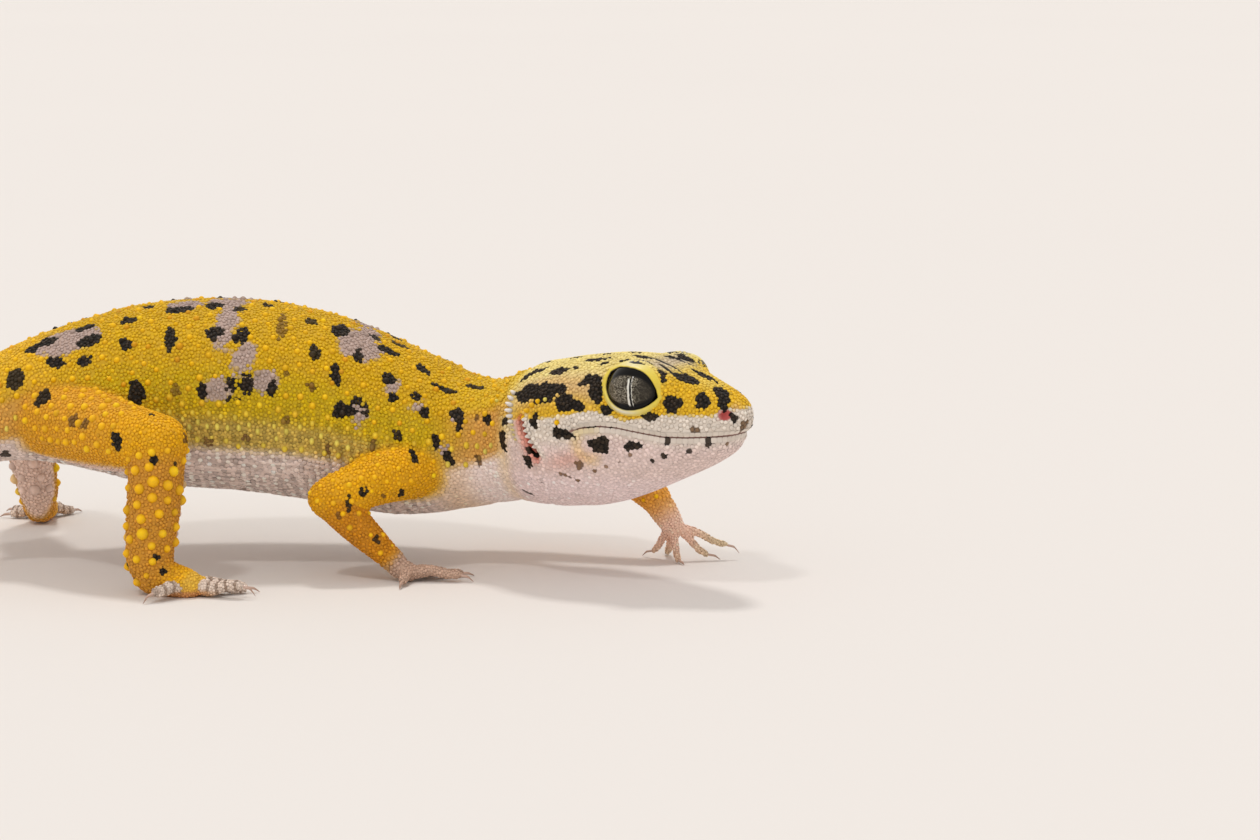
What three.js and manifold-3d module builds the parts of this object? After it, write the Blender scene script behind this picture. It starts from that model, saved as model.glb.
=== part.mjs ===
// A young leopard gecko in mid-stride, life size. Millimetres, +Z up, snout toward +X.
// The head is turned toward -Y, the trunk bows toward +Y, and the tail sweeps back in an S.
import * as THREE from "three";
import { mergeVertices } from "three/addons/utils/BufferGeometryUtils.js";
import Module from "manifold-3d";

const wasm = await Module();
wasm.setup();

// Overall choices.
const gap = 0.3; // between neighbouring pieces
const snoutTip = { x: 13.5, y: 0.75 };
const spineStep = 0.5;

// Where the pieces of the body meet, measured along the spine from the snout.
const jawEnd = 22.4;
const neckStart = 27.5;
const neckEnd = 41;
const shoulderEnd = 61;
const loinEnd = 81;
const tailStart = 96.5;
const tailJoints = [107, 119, 132, 146];
const tailEnd = 164;

// Turning of the spine: distance from the snout, degrees away from +X.
const bends = [
  [0, 33], [28, 33], [35, 27], [41, 19], [47, 12], [55, 5], [64, 0], [74, -5],
  [84, -10], [92, -15], [100, -20], [112, -26], [126, -12], [140, 12], [164, 40],
];

// Sections of the head: distance from the snout, half width, height of the mouth line, top, bottom.
const headSections = [
  [0, 1.4, 18.5, 22.0, 17.6],
  [0.8, 2.4, 18.55, 22.8, 17.1],
  [2.5, 3.8, 18.6, 23.7, 15.9],
  [5, 5.0, 18.65, 24.6, 14.5],
  [8, 6.2, 18.7, 25.8, 13.1],
  [11.5, 7.2, 18.8, 26.7, 11.5],
  [15, 8.0, 19.0, 26.9, 10.0],
  [18, 8.9, 19.2, 26.7, 9.0],
  [21, 9.3, 19.1, 26.3, 8.5],
  [24, 9.0, 18.4, 25.7, 8.2],
  [27.5, 7.9, 17.2, 24.9, 8.1],
];

// Sections of the neck, trunk and tail: distance, half width, widest level, top, bottom.
const bodySections = [
  [27.5, 7.9, 17.2, 24.9, 8.1],
  [30.5, 7.2, 16.4, 23.7, 8.2],
  [33.5, 6.9, 15.3, 22.3, 7.6],
  [37, 7.7, 14.8, 22.3, 6.8],
  [42, 9.2, 15.0, 23.9, 5.9],
  [47, 10.5, 15.8, 26.1, 5.4],
  [53, 11.6, 17.3, 28.6, 6.2],
  [60, 12.3, 18.4, 30.4, 7.4],
  [67.5, 12.6, 19.0, 31.2, 8.3],
  [75, 12.2, 19.4, 30.9, 8.9],
  [81, 11.0, 19.5, 29.9, 10.0],
  [87.5, 9.4, 19.3, 28.0, 11.7],
  [93, 7.6, 18.8, 26.0, 12.4],
  [97, 6.0, 17.6, 23.9, 12.0],
  [100.5, 4.9, 15.9, 21.0, 10.8],
  [105, 4.9, 13.4, 18.4, 8.5],
  [111, 5.6, 10.6, 15.9, 5.5],
  [118, 6.0, 8.1, 13.3, 2.9],
  [125, 5.8, 6.3, 11.2, 1.3],
  [131, 5.2, 5.0, 9.5, 0.5],
  [138, 4.3, 3.9, 7.7, -0.1],
  [145, 3.3, 3.0, 6.0, -0.1],
  [152, 2.3, 2.1, 4.3, -0.1],
  [159, 1.3, 1.3, 2.6, 0.0],
  [164, 0.5, 0.7, 1.2, 0.15],
];

const tailTipLength = 0.4;

// Brows over the eyes, a slight hollow between them, and the muzzle's flat sides.
const brow = { at: 11.4, side: 4.6, lift: 0.95, length: 3.2, width: 1.7 };
const crownHollow = { at: 9.5, depth: 0.15, length: 4.0, width: 2.2 };

// The lips curve back under the tip of the snout.
const lipTuck = { back: 1.15, fade: 3.5 };
const chin = { start: 1.5, inset: 0.25, tuck: 0.45 };

const eye = {
  at: 12.2, side: 4.45, height: 23.35, radius: 3.35, back: 0.5, forward: 8, upward: 13,
  lidDepth: 1.45, lidLength: 3.42, lidHeight: 2.85, lidThickness: 0.6,
};
const ear = { at: 24.4, height: 17.3, length: 2.1, width: 0.55, drum: 0.3, pit: 1.1, lean: 27 };

// Limbs: joints in mm, radii at the joints, and the digits as [heading, reach, tip height, arch].
const limbs = {
  right_fore: {
    names: ["upper_arm", "forearm", "hand"],
    joints: [[-24.3, 17.0, 12.6], [-30.0, 12.2, 11.4], [-35.0, 10.3, 9.7], [-27.5, 10.2, 2.4]],
    radii: [4.0, 3.1, 2.5, 1.45],
    wrist: [-27.1, 10.1, 1.7],
    palm: [-25.7, 9.8, 1.1],
    palmRadius: 1.18,
    digitRadius: 0.66,
    digits: [[-98, 3.2, 0.75], [-6, 5.8, 0.9], [20, 6.2, 0.55], [46, 5.2, 0.5], [85, 3.9, 0.5]],
  },
  left_fore: {
    names: ["upper_arm", "forearm", "hand"],
    joints: [[-18.5, 28.0, 13.2], [-12.0, 28.4, 13.8], [-5.4, 26.6, 14.0], [2.9, 22.6, 7.7]],
    radii: [4.0, 3.0, 2.6, 2.05],
    wrist: [3.7, 22.4, 6.5],
    palm: [5.0, 22.0, 4.5],
    palmRadius: 1.45,
    digitRadius: 0.52,
    digits: [[145, 2.6, 0.95], [-65, 1.7, 0.4], [0, 4.1, 0.8], [4, 6.4, 1.9], [97, 3.4, 0.4]],
  },
  right_hind: {
    names: ["thigh", "shank", "foot"],
    joints: [[-68.0, 17.8, 18.2], [-60.0, 10.4, 17.2], [-53.7, 5.8, 16.9], [-54.8, 2.9, 3.9]],
    radii: [5.0, 4.4, 3.5, 2.75],
    wrist: [-54.5, 2.7, 2.2],
    palm: [-50.2, 1.5, 1.35],
    palmRadius: 1.8,
    digitRadius: 0.82,
    digits: [[-133, 4.6, 1.15], [-15, 6.2, 1.55, -0.6], [12, 6.2, 0.75], [38, 5.6, 0.6], [66, 4.4, 0.6]],
  },
  left_hind: {
    names: ["thigh", "shank", "foot"],
    joints: [[-69.5, 27.4, 18.0], [-72.8, 35.2, 17.4], [-75.6, 42.2, 16.6], [-74.4, 45.3, 4.2]],
    radii: [5.0, 4.4, 3.4, 2.6],
    wrist: [-74.4, 45.6, 2.4],
    palm: [-74.2, 49.0, 1.35],
    palmRadius: 1.6,
    digitRadius: 0.74,
    digits: [[172, 4.2, 0.6], [140, 5.8, 0.6], [112, 6.6, 0.6], [84, 6.2, 0.6], [50, 4.2, 0.6]],
  },
};
const digitTipShare = 0.86; // of the digit's radius
const claw = { length: 1.05, radius: 0.3, tip: 0.06, sides: 4, drop: 1.1, lowest: 0.12, clear: 0.2 };

// Mesh density.
const bodySides = 24;
const headSides = 26;
const limbSides = 10;
const digitSides = 5;

const looks = {
  crown: { color: 0xc9ae52, roughness: 0.7 },
  jaw: { color: 0xcdb6ad, roughness: 0.7 },
  flank: { color: 0xd3a927, roughness: 0.65 },
  tail: { color: 0xcfb26a, roughness: 0.65 },
  limb: { color: 0xd99b32, roughness: 0.65 },
  digit: { color: 0xdcc8bd, roughness: 0.6 },
  claw: { color: 0xcbb7a0, roughness: 0.4 },
  eye: { color: 0x8c8a84, roughness: 0.1 },
  lid: { color: 0xe0c93a, roughness: 0.6 },
  ear: { color: 0xb4604a, roughness: 0.5 },
};

const radians = THREE.MathUtils.degToRad;

// Smooth value of one column of a table of rows sorted by their first entry.
function lookUp(rows, at, column) {
  let i = 0;
  while (i < rows.length - 2 && at > rows[i + 1][0]) i += 1;
  const slope = (j) => {
    const before = rows[Math.max(j - 1, 0)];
    const after = rows[Math.min(j + 1, rows.length - 1)];
    return (after[column] - before[column]) / (after[0] - before[0]);
  };
  const [from, to] = [rows[i], rows[i + 1]];
  const span = to[0] - from[0];
  const t = THREE.MathUtils.clamp((at - from[0]) / span, 0, 1);
  const rise = (3 - 2 * t) * t * t;
  const leave = (t - 1) * (t - 1) * t * span;
  const arrive = (t - 1) * t * t * span;
  return from[column] * (1 - rise) + to[column] * rise + slope(i) * leave + slope(i + 1) * arrive;
}

function traceSpine() {
  const points = [];
  let { x, y } = snoutTip;
  for (let at = 0; at <= tailEnd + 1; at += spineStep) {
    points.push([at, x, y]);
    const turn = radians(lookUp(bends, at + spineStep / 2, 1));
    x -= Math.cos(turn) * spineStep;
    y += Math.sin(turn) * spineStep;
  }
  return points;
}
const spine = traceSpine();

// A point of the body: distance along the spine, offset to the animal's left, height.
function bodyPoint(at, side, height) {
  const turn = radians(lookUp(bends, at, 1));
  const x = lookUp(spine, at, 1);
  const y = lookUp(spine, at, 2);
  return new THREE.Vector3(x + Math.sin(turn) * side, y + Math.cos(turn) * side, height);
}

const bump = (value, middle, width) => Math.exp(-(((value - middle) / width) ** 2));
const power = (value, exponent) => Math.sign(value) * Math.abs(value) ** exponent;

// One closed skin over rings of equal length, with a pole or a flat centre at each end.
function skinOver(rings, startPole, endPole) {
  const count = rings[0].length;
  const middle = (ring) => ring.reduce((sum, p) => sum.add(p), new THREE.Vector3()).divideScalar(count);
  const points = rings.flat();
  points.push(startPole ?? middle(rings[0]), endPole ?? middle(rings.at(-1)));
  const [start, end] = [points.length - 2, points.length - 1];
  const faces = [];
  for (let j = 0; j < count; j += 1) {
    const k = (j + 1) % count;
    faces.push([start, k, j]);
    for (let i = 0; i < rings.length - 1; i += 1) {
      const [a, b] = [i * count, (i + 1) * count];
      faces.push([a + j, a + k, b + j], [a + k, b + k, b + j]);
    }
    const last = (rings.length - 1) * count;
    faces.push([end, last + j, last + k]);
  }
  const volume = faces.reduce((sum, [a, b, c]) => {
    return sum + points[a].dot(new THREE.Vector3().crossVectors(points[b], points[c]));
  }, 0);
  const index = faces.flatMap(([a, b, c]) => (volume > 0 ? [a, b, c] : [a, c, b]));
  const geometry = new THREE.BufferGeometry().setFromPoints(points);
  geometry.setIndex(index);
  return geometry;
}

function toSolid(geometry) {
  const bare = geometry.clone();
  bare.deleteAttribute("normal");
  bare.deleteAttribute("uv");
  const merged = mergeVertices(bare, 1e-4);
  const index = [];
  for (let i = 0; i < merged.index.count; i += 3) {
    const [a, b, c] = [0, 1, 2].map((k) => merged.index.getX(i + k));
    if (a !== b && b !== c && c !== a) index.push(a, b, c);
  }
  const vertProperties = new Float32Array(merged.attributes.position.array);
  return new wasm.Manifold(new wasm.Mesh({
    numProp: 3, vertProperties, triVerts: new Uint32Array(index),
  }));
}

function toGeometry(solid) {
  const mesh = solid.getMesh();
  const geometry = new THREE.BufferGeometry();
  const stride = mesh.numProp;
  const positions = new Float32Array((mesh.vertProperties.length / stride) * 3);
  for (let i = 0; i < positions.length / 3; i += 1) {
    for (let k = 0; k < 3; k += 1) positions[i * 3 + k] = mesh.vertProperties[i * stride + k];
  }
  geometry.setAttribute("position", new THREE.BufferAttribute(positions, 3));
  geometry.setIndex(Array.from(mesh.triVerts));
  return geometry;
}

const cut = (piece, ...cutters) => cutters.reduce((left, cutter) => left.subtract(cutter), piece);
const join = (first, ...others) => others.reduce((all, one) => all.add(one), first);

// Everything above the floor, to press soles and the tail flat.
const aboveFloor = toSolid(new THREE.BoxGeometry(400, 400, 200).translate(0, 0, 100));

function sectionPoint(half, level, top, bottom, angle, squareness) {
  const side = half * power(Math.cos(angle), squareness);
  const rise = power(Math.sin(angle), squareness);
  return [side, level + (rise > 0 ? top - level : level - bottom) * rise];
}

// Neck, trunk or tail between two distances from the snout.
function bodyLength(from, to, step, grow = 0, sides = bodySides) {
  const rings = [];
  const steps = Math.round((to - from) / step);
  for (let i = 0; i <= steps; i += 1) {
    const at = from + ((to - from) * i) / steps;
    const [half, level, top, bottom] = [1, 2, 3, 4].map((k) => lookUp(bodySections, at, k));
    const ring = [];
    for (let j = 0; j < sides; j += 1) {
      const angle = ((j + 0.5) / sides) * 2 * Math.PI;
      const [side, z] = sectionPoint(half + grow, level, top + grow, bottom - grow, angle, 0.93);
      ring.push(bodyPoint(at, side, z));
    }
    rings.push(ring);
  }
  const tip = to === tailEnd ? bodyPoint(to + tailTipLength, 0, lookUp(bodySections, to, 2)) : null;
  return skinOver(rings, null, tip);
}

const headAt = (at) => [1, 2, 3, 4].map((k) => lookUp(headSections, at, k));

// The upper head: its lower side is the mouth as far as the jaw joint, then the full back of the head.
function upperHead() {
  const stops = [0, 0.4, 1.1, 2.3, 4, 6, 8, 9.8, 11.6, 13.4, 15.6, 18.2];
  const ends = [jawEnd + gap, jawEnd + 2 * gap, 25, neckStart];
  const rings = [...stops, ...ends].map((at) => {
    const [half, level, top, bottom] = headAt(at);
    const open = at <= jawEnd + gap;
    const ring = [];
    for (let j = 0; j < headSides; j += 1) {
      const angle = ((j + 0.5) / headSides) * 2 * Math.PI;
      let [side, z] = sectionPoint(half, level, top, bottom, angle, 0.9);
      if (z < level && open) z = level;
      if (z > level) {
        const over = (z - level) / (top - level);
        const browLift = bump(at, brow.at, brow.length) * bump(Math.abs(side), brow.side, brow.width);
        const hollow = bump(at, crownHollow.at, crownHollow.length) * bump(side, 0, crownHollow.width);
        z += over * (brow.lift * browLift - crownHollow.depth * hollow);
      }
      const under = THREE.MathUtils.clamp((top - z) / (top - level), 0, 1);
      ring.push(bodyPoint(at + lipTuck.back * under ** 3 * Math.exp(-at / lipTuck.fade), side, z));
    }
    return ring;
  });
  return skinOver(rings, bodyPoint(-0.1, 0, 20.9), null);
}

function lowerJaw() {
  const stops = [chin.start, 2.1, 3.2, 5, 7.4, 10.4, 13.4, 16.4, 19.4, jawEnd];
  const rings = stops.map((at) => {
    const [half, level, top, bottom] = headAt(at);
    const back = at + chin.tuck * Math.exp(-(at - chin.start) / lipTuck.fade);
    const jawHalf = half - chin.inset;
    const ring = [];
    for (let j = 0; j <= headSides / 2; j += 1) {
      const angle = -(j / (headSides / 2)) * Math.PI;
      const [side, z] = sectionPoint(jawHalf, level - gap, top, bottom, angle, 0.92);
      ring.push(bodyPoint(Math.min(back, jawEnd), side, z));
    }
    for (const share of [-0.5, 0, 0.5]) {
      ring.push(bodyPoint(Math.min(back, jawEnd), share * jawHalf, level - gap));
    }
    return ring;
  });
  return skinOver(rings, bodyPoint(chin.start + chin.tuck - 0.35, 0, 17.5), null);
}

// A frame on the side of the head, its X axis pointing out of the head.
function headFrame(at, side, height, forward, upward) {
  const yaw = radians(lookUp(bends, at, 1));
  const ahead = new THREE.Vector3(Math.cos(yaw), -Math.sin(yaw), 0);
  const left = new THREE.Vector3(Math.sin(yaw), Math.cos(yaw), 0);
  const out = left.clone().multiplyScalar(Math.sign(side) * Math.cos(radians(forward)))
    .addScaledVector(ahead, Math.sin(radians(forward)))
    .multiplyScalar(Math.cos(radians(upward)))
    .add(new THREE.Vector3(0, 0, Math.sin(radians(upward))));
  const across = new THREE.Vector3().crossVectors(new THREE.Vector3(0, 0, 1), out).normalize();
  const up = new THREE.Vector3().crossVectors(out, across);
  return new THREE.Matrix4().makeBasis(out, across, up).setPosition(bodyPoint(at, side, height));
}

// The front of an eyeball with a flat back, grown all round by the given amount.
function eyeball(frame, grow, segments = 15) {
  const radius = eye.radius + grow;
  const profile = [new THREE.Vector2(0, eye.back - grow)];
  const rings = Math.round(segments * 0.4);
  const start = Math.asin((eye.back - grow) / radius);
  for (let i = 0; i <= rings; i += 1) {
    const angle = start + ((Math.PI / 2 - start) * i) / rings;
    const reach = i === rings ? 0 : radius * Math.cos(angle);
    profile.push(new THREE.Vector2(reach, radius * Math.sin(angle)));
  }
  const ball = new THREE.LatheGeometry(profile, segments).rotateZ(-Math.PI / 2);
  return toSolid(ball.applyMatrix4(frame));
}

// The ring of lids around an eye: an oval torus lying in the frame's YZ plane.
function lidRing(frame, grow) {
  const [around, along] = [5, 14];
  const ring = new THREE.TorusGeometry(1, 0.001, around, along);
  const place = ring.attributes.position;
  for (let i = 0; i < place.count; i += 1) {
    const turn = ((i % (along + 1)) / along) * 2 * Math.PI;
    const roll = (Math.floor(i / (along + 1)) / around) * 2 * Math.PI;
    const reach = (eye.lidThickness + grow) * Math.cos(roll);
    const depth = eye.lidDepth + (eye.lidThickness + grow) * Math.sin(roll);
    place.setXYZ(i, depth, (eye.lidLength + reach) * Math.cos(turn), (eye.lidHeight + reach) * Math.sin(turn));
  }
  return toSolid(ring.applyMatrix4(frame));
}

// Clears the head's flesh from in front of an eye, as wide as the ring of lids.
function eyeOpening(frame) {
  const depth = 4;
  const shape = new THREE.CylinderGeometry(1, 1.15, depth, 14).rotateZ(-Math.PI / 2)
    .scale(1, eye.lidLength, eye.lidHeight).translate(eye.lidDepth + depth / 2, 0, 0);
  return toSolid(shape.applyMatrix4(frame));
}

function earShape(frame, deep, wide, tall) {
  const shape = new THREE.SphereGeometry(1, 10, 6).scale(deep, wide, tall);
  return toSolid(shape.rotateX(radians(ear.lean) * frame.lean).applyMatrix4(frame.matrix));
}

// A round-ended tube through points [x, y, z] with a radius at each.
function tube(points, radii, { sides = limbSides, steps = 5, grow = 0, plain = false } = {}) {
  const rows = points.map((p, i) => [i, ...p, radii[i]]);
  const last = rows.length - 1;
  const stations = [];
  for (let i = 0; i <= steps; i += 1) {
    const t = (i / steps) * last;
    const [x, y, z, r] = [1, 2, 3, 4].map((k) => lookUp(rows, t, k));
    stations.push({ centre: new THREE.Vector3(x, y, z), radius: r + grow });
  }
  const direction = (i) => stations[Math.min(i + 1, steps)].centre.clone()
    .sub(stations[Math.max(i - 1, 0)].centre).normalize();
  let side = new THREE.Vector3().crossVectors(direction(0), new THREE.Vector3(0.31, 0.17, 0.93)).normalize();
  const rings = [];
  const addRing = (centre, along, radius) => {
    side.addScaledVector(along, -side.dot(along)).normalize();
    const other = new THREE.Vector3().crossVectors(along, side);
    rings.push(Array.from({ length: sides }, (_, j) => {
      const angle = (j / sides) * 2 * Math.PI;
      return centre.clone().addScaledVector(side, radius * Math.cos(angle))
        .addScaledVector(other, radius * Math.sin(angle));
    }));
  };
  const [first, end] = [stations[0], stations[steps]];
  const [headOn, tailOn] = [direction(0), direction(steps)];
  const roundings = plain ? [[0.62, 0.78]] : [[0.82, 0.57], [0.45, 0.89]];
  for (const [away, size] of roundings) {
    addRing(first.centre.clone().addScaledVector(headOn, -away * first.radius), headOn, size * first.radius);
  }
  stations.forEach((station, i) => addRing(station.centre, direction(i), station.radius));
  for (const [away, size] of roundings.toReversed()) {
    addRing(end.centre.clone().addScaledVector(tailOn, away * end.radius), tailOn, size * end.radius);
  }
  return skinOver(
    rings,
    first.centre.clone().addScaledVector(headOn, -first.radius),
    end.centre.clone().addScaledVector(tailOn, end.radius),
  );
}

// The path of one digit from the palm to its tip, with the knuckles raised.
function digitPath(limb, [heading, reach, tipHeight, arch = 0.35]) {
  const [x, y, z] = limb.palm;
  const turn = radians(heading);
  const raise = arch * Math.min(1, reach / 5);
  const at = (share, height) => [
    x + Math.cos(turn) * reach * share, y + Math.sin(turn) * reach * share, height,
  ];
  return [
    at(0.1, z * 0.9),
    at(0.45, z * 0.5 + tipHeight * 0.5 + raise),
    at(0.78, z * 0.15 + tipHeight * 0.85),
    at(1, tipHeight),
  ];
}

function footSolid(limb) {
  const { wrist, palm, palmRadius, digitRadius } = limb;
  const base = toSolid(tube([wrist, palm], [limb.radii[3] * 0.86, palmRadius], { sides: 7, steps: 2, plain: true }));
  const digits = limb.digits.map((digit) => {
    const radii = [digitRadius * 1.15, digitRadius, digitRadius * 0.92, digitRadius * digitTipShare];
    return toSolid(tube(digitPath(limb, digit), radii, { sides: digitSides, steps: 3, plain: true }));
  });
  return join(base, ...digits);
}

// A claw leaving the tip of a digit and curving down toward the floor.
function clawShape(limb, digit) {
  const tip = new THREE.Vector3(...digitPath(limb, digit).at(-1));
  const turn = radians(digit[0]);
  const along = new THREE.Vector3(Math.cos(turn), Math.sin(turn), 0);
  const level = new THREE.Vector3(-along.y, along.x, 0);
  const up = new THREE.Vector3(0, 0, 1);
  const start = tip.clone().addScaledVector(along, limb.digitRadius * digitTipShare + claw.clear);
  const rings = [0, 0.5, 1].map((share) => {
    const centre = start.clone().addScaledVector(along, claw.length * share);
    const radius = THREE.MathUtils.lerp(claw.radius, claw.tip, share);
    const lowest = Math.max(claw.lowest, tip.z - claw.drop);
    centre.z = THREE.MathUtils.lerp(tip.z, Math.min(lowest, tip.z), share ** 1.5);
    return Array.from({ length: claw.sides }, (_, j) => {
      const angle = ((j + 0.25) / claw.sides) * 2 * Math.PI;
      return centre.clone().addScaledVector(level, radius * Math.cos(angle))
        .addScaledVector(up, radius * Math.sin(angle));
    });
  });
  return skinOver(rings, null, null);
}

const gecko = new THREE.Group();
gecko.name = "leopard_gecko";

function addPiece(name, geometry, look) {
  const mesh = new THREE.Mesh(geometry, new THREE.MeshStandardMaterial({ ...look, metalness: 0 }));
  mesh.name = name;
  gecko.add(mesh);
}

function addHead() {
  let skull = toSolid(upperHead());
  for (const [name, hand] of [["right", -1], ["left", 1]]) {
    const frame = headFrame(eye.at, eye.side * hand, eye.height, eye.forward, eye.upward);
    const lid = cut(lidRing(frame, 0), eyeball(frame, gap * 0.6, 12));
    addPiece(`eye_${name}`, toGeometry(eyeball(frame, 0)), looks.eye);
    addPiece(`eyelid_${name}`, toGeometry(lid), looks.lid);
    skull = cut(skull, eyeball(frame, gap, 10), lidRing(frame, gap), eyeOpening(frame));

    const [half] = headAt(ear.at);
    const pit = { matrix: headFrame(ear.at, half * hand, ear.height, 0, -6), lean: -hand };
    const drumSide = (half - ear.pit * 0.3) * hand;
    const drum = { matrix: headFrame(ear.at, drumSide, ear.height, 0, -6), lean: -hand };
    addPiece(`ear_${name}`, toGeometry(earShape(drum, ear.drum, ear.width, ear.length)), looks.ear);
    skull = cut(skull, earShape(pit, ear.pit, ear.width + gap, ear.length + gap));
  }
  addPiece("head", toGeometry(skull), looks.crown);
  addPiece("lower_jaw", lowerJaw(), looks.jaw);
}

function addBody() {
  addPiece("neck", bodyLength(neckStart + gap, neckEnd, 2.7), looks.flank);
  addPiece("trunk_front", bodyLength(neckEnd + gap, shoulderEnd, 2.9), looks.flank);
  addPiece("trunk_rear", bodyLength(shoulderEnd + gap, loinEnd, 3.3), looks.flank);
  addPiece("pelvis", bodyLength(loinEnd + gap, tailStart, 3), looks.flank);
  const joints = [tailStart, ...tailJoints, tailEnd];
  for (let i = 0; i < joints.length - 1; i += 1) {
    const start = joints[i] + gap;
    const length = toSolid(bodyLength(start, joints[i + 1], 3.4, 0, 16));
    addPiece(`tail_${i + 1}`, toGeometry(length.intersect(aboveFloor)), looks.tail);
  }
}

function addLimb(name, limb, bodyAround) {
  const [root, middle, joint, end] = limb.joints;
  const [rootRadius, middleRadius, jointRadius, endRadius] = limb.radii;
  const [upperName, lowerName, footName] = limb.names;
  const upper = (grow) => toSolid(tube([root, middle, joint], [rootRadius, middleRadius, jointRadius], { grow }));
  const lowerMiddle = joint.map((value, k) => value * 0.5 + end[k] * 0.5);
  const lowerRadii = [jointRadius * 0.92, jointRadius * 0.62 + endRadius * 0.4, endRadius];
  const lower = (grow) => toSolid(tube([joint, lowerMiddle, end], lowerRadii, { grow }));
  addPiece(`${upperName}_${name}`, toGeometry(cut(upper(0), bodyAround)), looks.limb);
  addPiece(`${lowerName}_${name}`, toGeometry(cut(lower(0), upper(gap), bodyAround)), looks.limb);
  const foot = cut(footSolid(limb), lower(gap)).intersect(aboveFloor);
  addPiece(`${footName}_${name}`, toGeometry(foot), looks.digit);
  limb.digits.forEach((digit, i) => {
    addPiece(`claw_${name}_${i + 1}`, clawShape(limb, digit), looks.claw);
  });
}

addHead();
addBody();
const bodyAround = toSolid(bodyLength(neckStart, tailStart, 2.6, gap));
for (const [name, limb] of Object.entries(limbs)) addLimb(name, limb, bodyAround);

// The origin is on the floor under the middle of the whole animal.
const box = new THREE.Box3().setFromObject(gecko);
gecko.position.set(-(box.min.x + box.max.x) / 2, -(box.min.y + box.max.y) / 2, -box.min.z);
gecko.updateMatrixWorld(true);

export default gecko;
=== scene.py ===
# Leopard gecko in mid-stride: skin, scales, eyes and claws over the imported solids.
import math

import bmesh
import bpy
import numpy as np
from mathutils import Matrix, Vector, kdtree
from mathutils.bvhtree import BVHTree


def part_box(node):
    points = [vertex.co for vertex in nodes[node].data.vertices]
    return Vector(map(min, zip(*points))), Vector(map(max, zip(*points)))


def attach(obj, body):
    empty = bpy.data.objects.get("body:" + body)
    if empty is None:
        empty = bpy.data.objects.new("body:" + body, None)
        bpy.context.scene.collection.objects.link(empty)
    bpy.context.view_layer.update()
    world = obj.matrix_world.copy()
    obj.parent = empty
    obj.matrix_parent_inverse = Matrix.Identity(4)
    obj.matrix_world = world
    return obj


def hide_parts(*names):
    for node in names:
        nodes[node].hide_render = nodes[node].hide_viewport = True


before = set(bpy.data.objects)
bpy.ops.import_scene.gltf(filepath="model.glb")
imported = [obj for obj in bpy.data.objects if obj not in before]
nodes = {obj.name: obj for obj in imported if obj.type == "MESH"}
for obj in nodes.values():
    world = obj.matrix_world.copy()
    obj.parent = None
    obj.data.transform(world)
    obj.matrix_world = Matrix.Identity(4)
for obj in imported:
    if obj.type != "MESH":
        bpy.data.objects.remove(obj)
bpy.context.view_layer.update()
scene = bpy.context.scene
hands = {"right": -1, "left": 1}

# The script works in millimetres on the walking line of the part's source, where the highest corner
# of the left eye's box is known; this is the way back.
eyeCorner = {"walk": (9.080, 14.473), "frame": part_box("eye_left")[1] * 1000}
walkShift = Vector((
    eyeCorner["frame"].x - eyeCorner["walk"][0], eyeCorner["frame"].y - eyeCorner["walk"][1], 0
))
toMetres = Matrix.Scale(0.001, 4) @ Matrix.Translation(walkShift)
toWalk = toMetres.inverted()

camera = {"distance": 393, "elevation": 9, "aim": (0, 0, 20.5), "lens": 100}


def addCamera():
    tilt = math.radians(camera["elevation"])
    aim = Vector(camera["aim"])
    stand = aim + Vector((0, -math.cos(tilt), math.sin(tilt))) * camera["distance"]
    data = bpy.data.cameras.new("camera")
    data.lens = camera["lens"]
    data.sensor_width = 36
    data.clip_start = 0.01
    obj = bpy.data.objects.new("camera", data)
    obj.location = toMetres @ stand
    obj.rotation_euler = (toMetres @ aim - obj.location).to_track_quat("-Z", "Y").to_euler()
    scene.collection.objects.link(obj)
    scene.camera = obj


addCamera()

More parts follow.
